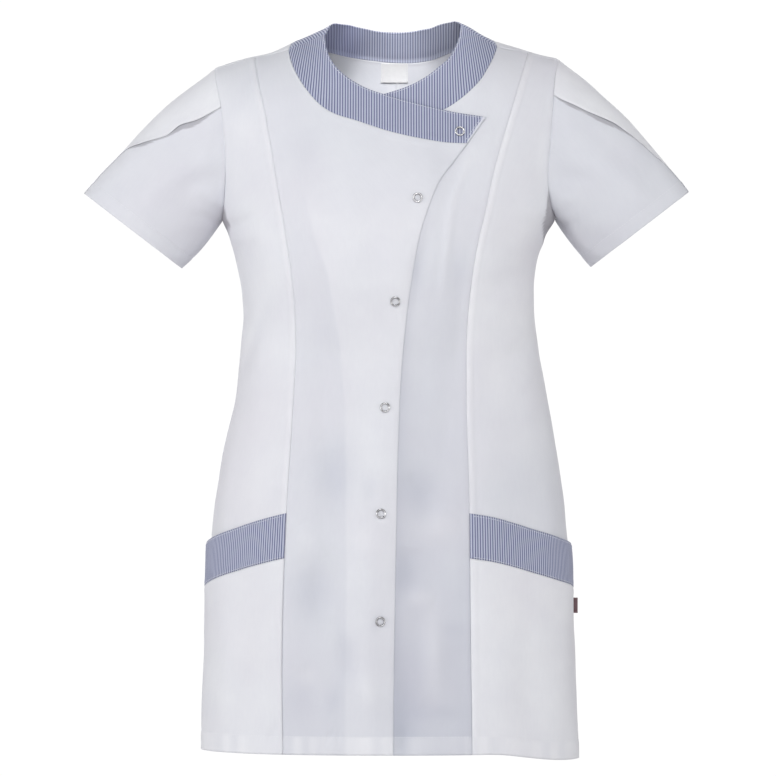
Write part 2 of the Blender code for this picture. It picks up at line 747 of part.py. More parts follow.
def back(side, name):
    outer_edge = side_edge(BACK, side)
    right_low, left_low = back_band_low()
    tip = SHOULDER_TIP_RIGHT_X if side == RIGHT else SHOULDER_TIP_LEFT_X
    neck = right_low if side == RIGHT else left_low[::-1]
    middle = ((CENTRE_BACK_X_TOP, float(form(BACK, *neck[-1])[2])), (CENTRE_BACK_X_HEM, BELOW_HEM_Z))
    seam = upright(BACK, middle)
    corner_x = BAND_OUTER_RIGHT[0][0] if side == RIGHT else BAND_OUTER_LEFT[0][0]
    princess_x = PRINCESS_RIGHT[0][0] if side == RIGHT else PRINCESS_LEFT[0][0]
    shoulder = np.concatenate([
        shoulder_seam(BACK, tip, princess_x, SIDE_CELLS)[:-1],
        shoulder_seam(BACK, princess_x, corner_x, SHOULDER_CELLS),
    ])
    top = np.concatenate([shoulder[:-1], neck])
    low = hem_line(BACK, np.linspace(outer_edge[0, 0], seam[0, 0], len(top)))
    top[0], top[-1], low[0], low[-1] = outer_edge[-1], seam[-1], outer_edge[0], seam[0]
    if side == RIGHT:
        places = patch(outer_edge, seam, low, top, ARM_ROWS)
    else:
        places = patch(seam, outer_edge, low[::-1], top[::-1], ARM_ROWS)
    grid, normals = cloth(BACK, places)
    shell(name, "white_cloth", grid, normals, PANEL_SEAMS)


def back_band(name):
    low = np.concatenate([back_band_low()[0], back_band_low()[1][1:]])
    top = back_band_edge(BAND_TOP_BACK, BAND_INNER_RIGHT[0], BAND_INNER_LEFT[0],
                         BAND_CELLS_HALF_BACK, BAND_CELLS_HALF_BACK, CENTRE_BACK_X_TOP)
    top = np.concatenate([top[0], top[1][1:]])
    right = shoulder_seam(BACK, BAND_OUTER_RIGHT[0][0], BAND_INNER_RIGHT[0][0], BAND_ACROSS)
    left = shoulder_seam(BACK, BAND_OUTER_LEFT[0][0], BAND_INNER_LEFT[0][0], BAND_ACROSS)
    low[0], top[0], low[-1], top[-1] = right[0], right[-1], left[0], left[-1]
    grid, normals = cloth(BACK, patch(right, left, low, top))
    seams = {"right": SHOULDER_GAP, "left": SHOULDER_GAP, "low": SEAM_GAP}
    shell(name, "striped_cloth", grid, normals, seams)


class Sleeve:
    """One sleeve's surface, from the armhole ring to the cuff. A step goes round it from the
    shoulder seam down the front, and along runs from 0 at the armhole to 1 at the cuff."""

    def __init__(self, side):
        self.side = side
        ring, normals = [], []
        for face, order in ((FRONT, slice(None, None, -1)), (BACK, slice(1, -1))):
            places = armhole(face, side)
            points, directions = cloth(face, places)
            ring.append(points[order])
            normals.append(directions[order])
        self.ring = np.concatenate(ring)
        self.normals = np.concatenate(normals)
        tangents = np.roll(self.ring, -1, axis=0) - np.roll(self.ring, 1, axis=0)
        away = np.cross(tangents, self.normals) * -side
        self.away = away / np.linalg.norm(away, axis=1, keepdims=True)
        top, low = (CUFF_TOP_RIGHT, CUFF_LOW_RIGHT) if side == RIGHT else (CUFF_TOP_LEFT, CUFF_LOW_LEFT)
        top, low = (np.array([corner[0], 0, corner[1]]) for corner in (top, low))
        self.cuff_middle = (top + low) / 2
        self.cuff_up = (top - low) / 2
        self.swell_top, self.swell_low = SWELL_RIGHT if side == RIGHT else SWELL_LEFT
        self.ring_middle = self.ring.mean(axis=0)

    def at_ring(self, values, step):
        base = np.floor(step).astype(int)
        share = (step - base)[..., None]
        return values[base % RING] * (1 - share) + values[(base + 1) % RING] * share

    def point(self, step, along):
        start = self.at_ring(self.ring, step)
        angle = (2 * math.pi * step / RING)[..., None]
        forward = np.array([0, -CUFF_DEPTH / 2, 0])
        end = self.cuff_middle + self.cuff_up * np.cos(angle) + forward * np.sin(angle)
        s = along[..., None]
        point = (1 - s) * start + s * end
        out = point - ((1 - s) * self.ring_middle + s * self.cuff_middle)
        out /= np.linalg.norm(out, axis=-1, keepdims=True)
        swell = self.swell_low + (self.swell_top - self.swell_low) * (1 + np.cos(angle)) / 2
        return point + out * swell * np.sin(math.pi * s**SWELL_SHIFT)

    def normal(self, step, along):
        before = np.clip(along - PROBE_ALONG, 0, 1)
        after = np.clip(along + PROBE_ALONG, 0, 1)
        round_it = self.point(step + PROBE_STEP, along) - self.point(step - PROBE_STEP, along)
        down_it = self.point(step, after) - self.point(step, before)
        normal = np.cross(round_it, down_it) * self.side
        normal /= np.linalg.norm(normal, axis=-1, keepdims=True)
        away = self.at_ring(self.away, step)
        lean = np.clip(np.sum(normal * away, axis=-1, keepdims=True), 0, 1)
        square = normal - lean * away
        square /= np.linalg.norm(square, axis=-1, keepdims=True)
        return np.where(along[..., None] == 0, square, normal)

    def leaf(self, name, steps, along, height, underarm):
        normals = self.normal(steps, along)
        grid = self.point(steps, along) + normals * height[..., None]
        start = self.at_ring(self.away, steps) * ARMHOLE_GAP
        grid += np.where(along[..., None] == 0, start, 0)
        shell(name, "white_cloth", grid, normals, {underarm: UNDERARM_GAP})


def free_edge(side, along):
    table = FREE_EDGE_RIGHT if side == RIGHT else FREE_EDGE_LEFT
    xs, ys = (column(table, FREE_EDGE_COLUMNS, name) for name in FREE_EDGE_COLUMNS)
    fine, values = softened(xs, ys, FREE_EDGE_SOFTENING)
    return np.interp(along, fine, values)


def sleeve(side, front_name, top_name):
    shape = Sleeve(side)
    rows = np.array(SLEEVE_ROWS)[:, None]
    edge = free_edge(side, rows)
    lap_share = np.linspace(0, 1, LAP_CELLS + 1)[None]
    lap = HIDDEN_STEP + (edge - HIDDEN_STEP) * lap_share
    below = edge + (ARM_ROWS - edge) * np.linspace(0, 1, FRONT_LEAF_CELLS + 1)[None, 1:]
    behind = np.linspace(ARM_ROWS, RING + HIDDEN_STEP, TOP_LEAF_CELLS + 1)[None, :-1]
    sunk = np.concatenate([np.ones(LAP_CELLS), [0.0]])[None] * np.ones_like(rows)
    front_steps = np.concatenate([lap, below], axis=1)
    front_height = np.concatenate([-LEAF_DIP * sunk, np.zeros(below.shape)], axis=1)
    behind = behind * np.ones_like(rows)
    lifted = LEAF_LIFT - LEAF_DIP
    top_steps = np.concatenate([behind, RING + lap], axis=1)
    start = RING + HIDDEN_STEP - LAP_TAPER
    top_height = np.concatenate([
        lifted * blend(behind, start, start + LAP_TAPER),
        LEAF_LIFT - LEAF_DIP * sunk + LEAF_STAND * lap_share**3 * np.sin(math.pi * rows) ** 2,
    ], axis=1)
    along = np.ones_like(front_steps) * rows
    shape.leaf(front_name, front_steps, along, front_height, "left")
    along = np.ones_like(top_steps) * rows
    shape.leaf(top_name, top_steps, along, top_height, "right")


def pocket(side, places, grid, normals, panel_name, band_name):
    gape = GAPE_RIGHT if side == RIGHT else GAPE_LEFT
    turn = np.abs(places[..., 0])
    mouth = places[POCKET_ROWS + BAND_ROWS, :, 1]
    below = mouth[None] - places[..., 1]
    stand = gape * np.exp(-(((turn - GAPE_TURN) / GAPE_TURN_WIDTH) ** 2) - (below / GAPE_REACH) ** 2)
    raised = grid + normals * (POCKET_LIFT + stand)[..., None]
    split, end = POCKET_ROWS + 1, POCKET_ROWS + BAND_ROWS + 1
    seams = {"right": SEAM_GAP, "left": SEAM_GAP}
    shell(panel_name, "white_cloth", raised[:split], normals[:split], {**seams, "top": SEAM_GAP})
    band, band_normals = raised[split - 1 : end], normals[split - 1 : end]
    shell(band_name, "striped_cloth", band, band_normals, {**seams, "low": SEAM_GAP})


def snaps():
    for number, spot in enumerate(SNAPS, 1):
        places = place(FRONT, [spot])
        point, normal = cloth(FRONT, places, upper=True)
        bpy.ops.mesh.primitive_torus_add(
            major_radius=SNAP_RADIUS,
            minor_radius=SNAP_WIRE,
            major_segments=SNAP_CELLS_ROUND,
            minor_segments=SNAP_CELLS_WIRE,
        )
        ring = bpy.context.object
        ring.location = point[0] + normal[0] * (SNAP_SEAT + SNAP_WIRE)
        ring.rotation_mode = "QUATERNION"
        ring.rotation_quaternion = Vector(normal[0]).to_track_quat("Z", "Y")
        finished(ring, f"snap_{number}", "snap_metal")


def label(name):
    x = np.linspace(*LABEL_X, LABEL_CELLS[0] + 1)[None] * np.ones((LABEL_CELLS[1] + 1, 1))
    z = np.linspace(*LABEL_Z, LABEL_CELLS[1] + 1)[:, None] * np.ones((1, LABEL_CELLS[0] + 1))
    places = place(BACK, np.stack([x.ravel(), z.ravel()], axis=-1)).reshape(*x.shape, 2)
    grid, normals = cloth(BACK, places)
    inside = grid - normals * (WALL + LABEL_GAP)
    shell(name, "label_cloth", inside, normals, {}, wall=LABEL_WALL)


def tab(name):
    bpy.ops.mesh.primitive_cube_add(size=1, location=TAB_MIDDLE)
    made = bpy.context.object
    made.scale = TAB_SIZE
    bpy.ops.object.transform_apply(location=False, rotation=False, scale=True)
    finished(made, name, "tab_cloth")


def main():
    for obj in list(bpy.data.objects):
        bpy.data.objects.remove(obj)
    collection = bpy.data.collections.new(COLLECTION)
    bpy.context.scene.collection.children.link(collection)
    collection.objects.link(bpy.data.objects.new(ROOT, None))
    front_centre_right("front_right_centre")
    front_centre_left("front_left_centre")
    for side, word in ((RIGHT, "right"), (LEFT, "left")):
        places, grid, normals = front_side(side, f"front_{word}_side")
        pocket(side, places, grid, normals, f"pocket_{word}", f"pocket_band_{word}")
        back(side, f"back_{word}")
        sleeve(side, f"sleeve_front_{word}", f"sleeve_top_{word}")
    front_band("neck_band_right", BAND_OUTER_RIGHT, BAND_INNER_RIGHT, BAND_CELLS_RIGHT, True)
    front_band("neck_band_left", BAND_OUTER_LEFT, BAND_INNER_LEFT, BAND_CELLS_LEFT, False)
    back_band("neck_band_back")
    snaps()
    label("neck_label")
    tab("side_tab")


main()
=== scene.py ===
import json
import math

import bpy
import numpy as np
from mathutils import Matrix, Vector

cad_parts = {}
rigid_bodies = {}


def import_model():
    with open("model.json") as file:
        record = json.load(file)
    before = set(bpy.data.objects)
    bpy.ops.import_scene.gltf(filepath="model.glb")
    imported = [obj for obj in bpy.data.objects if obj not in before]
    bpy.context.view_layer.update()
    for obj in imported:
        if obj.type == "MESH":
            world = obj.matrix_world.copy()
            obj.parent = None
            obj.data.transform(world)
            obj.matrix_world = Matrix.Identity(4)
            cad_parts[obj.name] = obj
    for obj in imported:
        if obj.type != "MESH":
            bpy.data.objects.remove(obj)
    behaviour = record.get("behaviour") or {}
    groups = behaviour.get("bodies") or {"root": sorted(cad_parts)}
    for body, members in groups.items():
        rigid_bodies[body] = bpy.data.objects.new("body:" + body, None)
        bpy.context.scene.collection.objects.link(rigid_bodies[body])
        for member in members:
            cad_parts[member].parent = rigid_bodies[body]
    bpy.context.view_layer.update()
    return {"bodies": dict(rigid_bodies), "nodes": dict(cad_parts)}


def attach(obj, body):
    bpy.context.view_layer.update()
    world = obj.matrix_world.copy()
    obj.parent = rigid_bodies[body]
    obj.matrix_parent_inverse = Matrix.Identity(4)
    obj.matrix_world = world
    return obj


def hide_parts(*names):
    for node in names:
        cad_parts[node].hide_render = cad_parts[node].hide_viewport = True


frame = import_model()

bodyName = frame["bodies"] and next(iter(frame["bodies"]))
print("frame loaded,", len(frame["nodes"]), "nodes on", bodyName)


# Camera, light and floor

view = {"x": -0.00208, "away": 6.0, "z": -0.337, "lens": 267.6, "sensor": 36.0}
studio = {
    "floorZ": -1.42, "floorRadius": 9.2, "floorSides": 96, "wallTop": 1.3, "wallStrength": 1.03,
    "skyColour": (1.0, 0.985, 0.99), "skyStrength": 0.22, "aim": (0.0, 0.0, -0.32),
    "lamps": (  # name, where, across, watts
        ("highLeftLamp", (-1.3, -5.5, 1.6), 2.2, 40), ("highRightLamp", (1.3, -5.5, 1.6), 2.2, 27),
        ("sideLeftLamp", (-3.6, -1.5, 0.3), 2.2, 38), ("sideRightLamp", (3.6, -1.5, 0.3), 2.2, 19),
        ("nearLamp", (0.0, -2.2, 1.7), 1.4, 24), ("backLamp", (0.0, 3.5, 1.2), 2.6, 80),
    ),
    "neckLamp": {"where": (0.0, -3.0, 1.4), "aim": (0.008, 0.1, 0.020), "watts": 440, "cone": 3.0,
                 "softness": 0.8, "radius": 0.06},  # a small spot on the inside of the back neck
}


def setCamera():
    data = bpy.data.cameras.new("camera")
    data.lens, data.sensor_width, data.clip_end = view["lens"], view["sensor"], 60
    camera = bpy.data.objects.new("camera", data)
    camera.location = (view["x"], -view["away"], view["z"])
    camera.rotation_euler = (math.pi / 2, 0, 0)
    bpy.context.scene.collection.objects.link(camera)
    bpy.context.scene.camera = camera


def hangLamp(name, data, where, aim):
    lamp = bpy.data.objects.new(name, data)
    lamp.location = where
    lamp.rotation_euler = (Vector(aim) - Vector(where)).to_track_quat("-Z", "Y").to_euler()
    bpy.context.scene.collection.objects.link(lamp)


def setLamps():
    for name, where, across, watts in studio["lamps"]:
        data = bpy.data.lights.new(name, "AREA")
        data.shape, data.size, data.energy = "DISK", across, watts
        hangLamp(name, data, where, studio["aim"])
    neck = studio["neckLamp"]
    data = bpy.data.lights.new("neckLamp", "SPOT")
    data.energy, data.spot_size, data.spot_blend = neck["watts"], math.radians(neck["cone"]), neck["softness"]
    data.shadow_soft_size = neck["radius"]
    hangLamp("neckLamp", data, neck["where"], neck["aim"])
    world = bpy.data.worlds.new("softSky")
    world.use_nodes = True
    sky = world.node_tree.nodes["Background"]
    sky.inputs["Color"].default_value = (*studio["skyColour"], 1)
    sky.inputs["Strength"].default_value = studio["skyStrength"]
    bpy.context.scene.world = world


# Shader maths

class Wire:  # a node's output, so that an expression on wires adds its own Math nodes
    def __init__(self, finish, socket):
        self.finish, self.socket = finish, socket

    def maths(self, operation, *values):
        return self.finish.node("ShaderNodeMath", {"operation": operation}, dict(enumerate(values)))

    def __add__(self, other):
        return self.maths("ADD", self, other)

    def __sub__(self, other):
        return self.maths("SUBTRACT", self, other)

    def __rsub__(self, other):
        return self.maths("SUBTRACT", other, self)

    def __mul__(self, other):
        return self.maths("MULTIPLY", self, other)

    def __truediv__(self, other):
        return self.maths("DIVIDE", self, other)

    __radd__, __rmul__ = __add__, __mul__

    def sine(self):
        return self.maths("SINE", self)

    def zigzag(self, size):
        return self.maths("PINGPONG", self, size)


class Finish:
    def __init__(self, name):
        self.material = bpy.data.materials.new(name)
        self.material.use_nodes = True
        self.tree = self.material.node_tree
        self.shader = self.tree.nodes["Principled BSDF"]

    def node(self, kind, settings=None, sockets=None, out=0):
        added = self.tree.nodes.new(kind)
        for name, value in (settings or {}).items():
            setattr(added, name, value)
        for name, value in (sockets or {}).items():
            self.feed(added.inputs[name], value)
        return Wire(self, added.outputs[out])

    def feed(self, socket, value):
        if isinstance(value, Wire):
            self.tree.links.new(value.socket, socket)
        elif hasattr(value, "__len__") and len(value) < len(socket.default_value):
            socket.default_value = (*value, 1)
        else:
            socket.default_value = value

    def mix(self, share, first, second):
        return self.node("ShaderNodeMix", {"data_type": "RGBA"}, {0: share, 6: first, 7: second}, 2)

    def stored(self, name, out):  # a value that the mesh carries: 1 is a vector, 2 a number
        return self.node("ShaderNodeAttribute", {"attribute_name": name}, out=out)

    def parts(self, vector):
        split = self.node("ShaderNodeSeparateXYZ", sockets={0: vector})
        return [Wire(self, socket) for socket in split.socket.node.outputs]

    def place(self):
        return self.node("ShaderNodeTexCoord", out=3)

    def cloud(self, where, size, detail=2.0, rough=0.5):
        return self.node("ShaderNodeTexNoise", {}, {"Vector": where, "Scale": 1 / size, "Detail": detail,
                                                    "Roughness": rough})

    def bump(self, height, distance, strength=1.0, under=None):
        sockets = {"Height": height, "Distance": distance, "Strength": strength}
        return self.node("ShaderNodeBump", {}, sockets if under is None else {**sockets, "Normal": under})

    def shade(self, colour, roughness, normal, fixed):
        for name, value in {"Base Color": colour, "Roughness": roughness, "Normal": normal, **fixed}.items():
            self.feed(self.shader.inputs[name], value)
        return self.material


# Finishes

yarn = {
    "pitch": 0.00052, "relief": 0.00004, "depth": 0.6, "slub": 0.0032, "slubRelief": 0.00008,
    "slubStretch": 0.25, "crumple": 0.016, "crumpleRelief": 0.00034, "mottle": 0.040, "blush": 0.11,
    "unevenRough": 0.12, "sheen": 0.08,
}
# the ends of the white cloth's range stand for thin and doubled cloth and also for painted shade and painted
# light; deep is the colour of painted shade
whites = {
    "thinAndShaded": (0.489, 0.517, 0.594), "doubledAndLit": (0.860, 0.872, 0.900), "shade": (0.52, 0.52, 0.62),
    "blush": (0.69, 0.665, 0.73), "blushFrom": 0.42, "blushShare": 0.9, "paintedShade": (0.20, 0.185, 0.215),
    "least": 0.323, "most": 0.857, "dusk": 0.14, "duskSlub": 0.12, "duskMottle": 0.27, "duskYarn": 0.012,
    "rough": 0.86,
}
# bare is the pale colour of the facing and also of painted light; deep is the bluer colour of painted shade
# inside the back band
stripes = {
    "pitch": 0.00269, "share": 0.47, "edge": 0.18, "sway": 0.08, "fade": (0.97, 0.03), "mottle": (0.35, 0.16),
    "navy": (0.125, 0.140, 0.265), "pale": (0.500, 0.530, 0.655), "paleFacingAndLight": (0.70, 0.715, 0.79),
    "paintedShade": (0.42, 0.46, 0.95), "rough": 0.84,
}
metal = {"cloud": 0.0045, "from": 0.40, "share": 4.0, "dull": (0.36, 0.36, 0.37),
         "bright": (0.80, 0.80, 0.81), "scratch": 0.0004, "relief": 0.00001, "rough": (0.12, 0.20)}
looks = {  # rib is the pitch of fine ribs, which run along the cut's second or the place's third axis
    "whiteThread": {"cloud": 0.0006, "colours": ((0.72, 0.73, 0.78), (0.84, 0.85, 0.88)),
                    "rough": (0.62, 0.15), "relief": 0.00008, "sheen": 0.2},
    "labelSatin": {"cloud": 0.004, "colours": ((0.80, 0.80, 0.81), (0.88, 0.88, 0.88)),
                   "rough": (0.48, 0.12), "relief": 0.00003, "sheen": 0.1, "rib": 0.0004, "ribShare": 0.06,
                   "axis": 1},
    "tabTape": {"cloud": 0.002, "colours": ((0.125, 0.070, 0.080), (0.215, 0.135, 0.145)),
                "rough": (0.72, 0.1), "relief": 0.00006, "sheen": 0.15, "rib": 0.0008, "ribShare": 0.15,
                "axis": 2},
    "paleFloor": {"cloud": 0.4, "colours": ((0.79, 0.77, 0.775), (0.82, 0.80, 0.805)), "rough": (0.88, 0.04),
                  "relief": 0.0002, "sheen": 0.0},
}


def weave(finish):
    across, along, _ = finish.parts(finish.stored("cut", 1))
    turn = 2 * math.pi / yarn["pitch"]
    over = (across * turn).sine() * (along * turn).sine()
    stretched = finish.node("ShaderNodeCombineXYZ", {}, {0: across, 1: along * yarn["slubStretch"]})
    slub = finish.cloud(stretched, yarn["slub"], 3.0)
    crumple = finish.cloud(finish.place(), yarn["crumple"], 3.0, 0.55)
    mottle = finish.cloud(finish.place(), yarn["mottle"], 2.0, 0.5)
    soft = finish.bump(crumple, yarn["crumpleRelief"])
    rough = finish.bump(slub, yarn["slubRelief"], under=soft)
    return over, slub, mottle, finish.bump(over, yarn["relief"], yarn["depth"], under=rough)


def clothShade(finish, colour, paintedShade, rough, slub, normal):
    # mixes towards a dark colour where the mesh carries painted shade: under the arms, under the sleeves'
    # free edges and inside the back band
    colour = finish.mix(finish.stored("paintedShade", 2), colour, paintedShade)
    rough = rough + (slub - 0.5) * yarn["unevenRough"]
    return finish.shade(colour, rough, normal, {"Sheen Weight": yarn["sheen"]})


def whiteFinish():
    finish = Finish("whitePoplin")
    over, slub, mottle, normal = weave(finish)
    # the stored body mixes thin to doubled cloth and carries painted light and shade as well
    plain = finish.mix(finish.stored("body", 2), whites["thinAndShaded"], whites["doubledAndLit"])
    dusk = whites["dusk"] + (slub - 0.5) * whites["duskSlub"] + (mottle - 0.5) * whites["duskMottle"]
    dusk = dusk + over * whites["duskYarn"]
    blush = finish.cloud(finish.place(), yarn["blush"], 1.0)
    blush = (blush - whites["blushFrom"]) * whites["blushShare"]
    colour = finish.mix(blush, finish.mix(dusk, plain, whites["shade"]), whites["blush"])
    return clothShade(finish, colour, whites["paintedShade"], whites["rough"], slub, normal)


def stripedFinish():
    finish = Finish("stripedPoplin")
    over, slub, mottle, normal = weave(finish)
    wave = (finish.stored("stripe", 2) / stripes["pitch"]).zigzag(0.5) * 2 + (slub - 0.5) * stripes["sway"]
    line = finish.node("ShaderNodeMapRange", {"interpolation_type": "SMOOTHSTEP"},
                       {"Value": wave, "From Min": stripes["share"] - stripes["edge"],
                        "From Max": stripes["share"] + stripes["edge"], "To Min": 1.0, "To Max": 0.0})
    strong, weak = stripes["fade"]
    line = line * (1 - finish.stored("body", 2)) * (strong - over * weak)
    middle, share = stripes["mottle"]
    ground = finish.mix((mottle - middle) * share, stripes["pale"], stripes["navy"])
    colour = finish.mix(finish.stored("paleFacingAndLight", 2), finish.mix(line, ground, stripes["navy"]), stripes["paleFacingAndLight"])
    return clothShade(finish, colour, stripes["paintedShade"], stripes["rough"], slub, normal)


def snapFinish():
    finish = Finish("nickelPlate")
    rub = finish.cloud(finish.place(), metal["cloud"], 4.0, 0.6)
    colour = finish.mix((rub - metal["from"]) * metal["share"], metal["dull"], metal["bright"])
    scratch = finish.bump(finish.cloud(finish.place(), metal["scratch"]), metal["relief"])
    return finish.shade(colour, metal["rough"][0] + rub * metal["rough"][1], scratch, {"Metallic": 1.0})


def plainFinish(name):
    finish, look = Finish(name), looks[name]
    cloud = finish.cloud(finish.place(), look["cloud"])
    shown = raised = cloud
    if "rib" in look:
        where = finish.stored("cut", 1) if look["axis"] == 1 else finish.place()
        raised = (finish.parts(where)[look["axis"]] * (2 * math.pi / look["rib"])).sine()
        shown = cloud + raised * look["ribShare"]
    return finish.shade(finish.mix(shown, *look["colours"]), look["rough"][0] + cloud * look["rough"][1],
                        finish.bump(raised, look["relief"]), {"Sheen Weight": look["sheen"]})


def wallFinish():
    finish = Finish("whiteWall")
    fixed = {"Base Color": (0, 0, 0), "Specular IOR Level": 0.0, "Emission Color": (1, 1, 1),
             "Emission Strength": studio["wallStrength"]}
    for name, value in fixed.items():
        finish.feed(finish.shader.inputs[name], value)
    return finish.material


def linked(name, verts, faces, material):
    mesh = bpy.data.meshes.new(name)
    mesh.from_pydata(verts, [], faces)
    mesh.materials.append(material)
    piece = bpy.data.objects.new(name, mesh)
    bpy.context.scene.collection.objects.link(piece)
    return piece


def setStage():
    radius, steps = studio["floorRadius"], studio["floorSides"]
    turns = np.linspace(0, 2 * math.pi, steps, endpoint=False)
    rimLight = [(radius * math.cos(turn), radius * math.sin(turn)) for turn in turns]
    rings = [(x, y, z) for z in (studio["floorZ"], studio["wallTop"]) for x, y in rimLight]
    quads = [(i, steps + i, steps + (i + 1) % steps, (i + 1) % steps) for i in range(steps)]
    floor = linked("studioFloor", rings[:steps], [list(range(steps))], plainFinish("paleFloor"))
    wall = linked("studioWall", rings, quads, wallFinish())


setCamera()
setLamps()
setStage()
bpy.context.scene.view_settings.view_transform = "Standard"
finishes = {
    "white_cloth": whiteFinish(), "striped_cloth": stripedFinish(), "snap_metal": snapFinish(),
    "label_cloth": plainFinish("labelSatin"), "tab_cloth": plainFinish("tabTape"),
    "thread": plainFinish("whiteThread"),
}
print("camera, light, floor and finishes made")


# The worn form, as the frame has it

front, back = -1, 1
right, left = -1, 1
words = {right: "right", left: "left"}
worn = {
    "squareness": 2.4, "frontRoll": 0.070, "backRoll": 0.090, "soften": 0.014, "ridgeSoften": 0.009,
    "foldFade": 0.35, "liftFrom": -0.092, "liftTo": -0.046, "lift": 0.0021,
    "sections": (  # in mm: z, middle, half width, front depth, back depth
        (-780, 0, 197, 136, 134), (-720, 0, 195, 133, 131), (-600, -1, 191, 127, 124),
        (-503, -1, 186, 121, 115), (-453, -1, 181, 117, 107), (-403, 0, 173, 114, 100),
        (-354, 1, 163, 112, 95), (-304, -1, 155, 114, 94), (-265, -1, 151.2, 121, 99),
        (-229, -3, 152, 127, 104), (-204, -4, 156.5, 128, 108), (-179, -3, 164, 125, 110),
        (-163, -1, 173.5, 122, 111), (-140, -2, 176, 117, 113), (-110, -3, 180, 110, 114),
        (-70, -3, 188.5, 97, 112), (-43, -3, 197, 88, 110), (-14, -3, 204, 80, 105), (7, -3, 206, 76, 96),
        (20, -3, 206, 72, 86), (37, -3, 206, 67, 73), (60, -3, 206, 62, 64), (200, -3, 206, 56, 56),
    ),
    "ridge": (  # in mm: x, z along the top of the shoulders and on inside the neck
        (-240, -20), (-181, -4), (-151, 5), (-118, 15), (-85, 28), (-68, 36), (-60, 41), (-52, 52),
        (-40, 72), (-20, 101), (6, 130), (32, 103), (50, 76), (60, 54), (68, 43.5), (73, 41.5), (81, 39),
        (106, 25), (139, 14), (156, 9), (175, 5), (240, -12),
    ),
    "folds": {  # in mm: z top, z low, x top, x middle, x low, half width, depth
        front: (
            (-190, -700, -88, -56, -52, 20, -4), (-230, -720, 20, -16, -14, 18, 2),
            (-240, -740, 56, 44, 40, 22, -4), (-300, -780, -150, -158, -160, 22, -2.5),
            (-300, -780, 130, 140, 146, 22, -2.5),
        ),
        back: (
            (-120, -470, -78, -70, -74, 18, -4), (-120, -470, 78, 70, 74, 18, -4),
            (-400, -800, -110, -112, -118, 26, 4), (-400, -800, 108, 114, 120, 26, 4),
            (-420, -800, 4, 4, 4, 30, -3.5),
        ),
    },
}


def metres(table):
    return np.array(table, float) / 1000


def softened(xs, ys, reach):
    fine = np.arange(xs[0], xs[-1], 0.001)
    count = max(3, round(2 * reach / 0.001) | 1)
    window = np.hanning(count + 2)[1:-1]
    half = count // 2
    values = np.interp(fine, xs, ys)
    ends = (2 * values[0] - values[half:0:-1], 2 * values[-1] - values[-2:-half - 2:-1])
    return fine, np.convolve(np.concatenate([ends[0], values, ends[1]]), window / window.sum(), mode="valid")


def sectionProfile(column):
    table = metres(worn["sections"])
    fine, values = softened(table[:, 0], table[:, column], worn["soften"])
    return lambda z: np.interp(z, fine, values)


middleAt, halfWidthAt, frontDepthAt, backDepthAt = (sectionProfile(i) for i in range(1, 5))
ridgeX, ridgeZ = softened(*metres(worn["ridge"]).T, worn["ridgeSoften"])


def ridgeAt(x):
    return np.interp(x, ridgeX, ridgeZ)


def blend(value, start, end):
    t = np.clip((value - start) / (end - start), 0, 1)
    return t * t * (3 - 2 * t)


def hump(value, width):
    return np.exp(-((value / width) ** 2))


def lengthsOf(line):
    return np.concatenate([[0], np.cumsum(np.linalg.norm(np.diff(line, axis=0), axis=1))])


def hermite(t, span, start, end, slope, endSlope):
    return ((1 + 2 * t) * (1 - t) ** 2 * start + t * (1 - t) ** 2 * span * slope
            + t * t * (3 - 2 * t) * end + t * t * (t - 1) * span * endSlope)


def curveThrough(points, perSpan=24):
    points = np.asarray(points, float)
    chords = np.linalg.norm(np.diff(points, axis=0), axis=1)
    secants = np.diff(points, axis=0) / chords[:, None]
    slopes = np.concatenate([secants[:1], secants, secants[-1:]])
    weights = np.concatenate([chords[:1], chords, chords[-1:]])[:, None]
    slopes = (slopes[:-1] * weights[1:] + slopes[1:] * weights[:-1]) / (weights[1:] + weights[:-1])
    out = []
    for i, span in enumerate(chords):
        t = np.linspace(0, 1, perSpan, endpoint=False)[:, None]
        out.append(hermite(t, span, points[i], points[i + 1], slopes[i], slopes[i + 1]))
    return np.concatenate(out + [points[-1:]])


def rollOf(face):
    return np.where(np.asarray(face) == front, worn["frontRoll"], worn["backRoll"])


def crestAt(face, x):
    return ridgeAt(x) + rollOf(face) * (math.pi / 2 - 1)


def formAt(face, turn, rise):
    face, turn, rise = np.broadcast_arrays(face, turn, rise)
    pastSide = np.abs(turn) > math.pi / 2
    face = np.where(pastSide, -face, face)
    turn = np.where(pastSide, np.sign(turn) * math.pi - turn, turn)
    power = 2 / worn["squareness"]
    x = middleAt(rise) + halfWidthAt(rise) * np.sign(turn) * np.abs(np.sin(turn)) ** power
    over = rise - crestAt(face, x)
    face = np.where(over > 0, -face, face)
    rise = np.where(over > 0, crestAt(face, x) - over, rise)
    start = ridgeAt(x) - rollOf(face)
    angle = np.clip((rise - start) / rollOf(face), 0, math.pi / 2)
    z = np.where(angle > 0, start + rollOf(face) * np.sin(angle), rise)
    depth = np.where(face == front, frontDepthAt(z), backDepthAt(z))
    return np.stack([x, face * depth * np.abs(np.cos(turn)) ** power * np.cos(angle), z], axis=-1)


def unit(vectors):
    return vectors / np.linalg.norm(vectors, axis=-1, keepdims=True)


def outwardAt(face, turn, rise):
    across = formAt(face, turn + 0.01, rise) - formAt(face, turn - 0.01, rise)
    up = formAt(face, turn, rise + 0.001) - formAt(face, turn, rise - 0.001)
    return unit(np.cross(across, up) * (1 if face == front else -1))


def placeAt(face, points, seen=None):
    x, z = np.asarray(points, float).T
    seen = face if seen is None else seen
    start = ridgeAt(x) - rollOf(seen)
    share = np.clip((z - start) / rollOf(seen), 0, 1)
    rise = np.where(share > 0, start + rollOf(seen) * np.arcsin(share), z)
    if seen != face:
        rise = crestAt(face, x) + crestAt(seen, x) - rise
    ratio = np.clip((x - middleAt(rise)) / halfWidthAt(rise), -1, 1)
    return np.stack([np.sign(ratio) * np.arcsin(np.abs(ratio) ** (worn["squareness"] / 2)), rise], axis=-1)


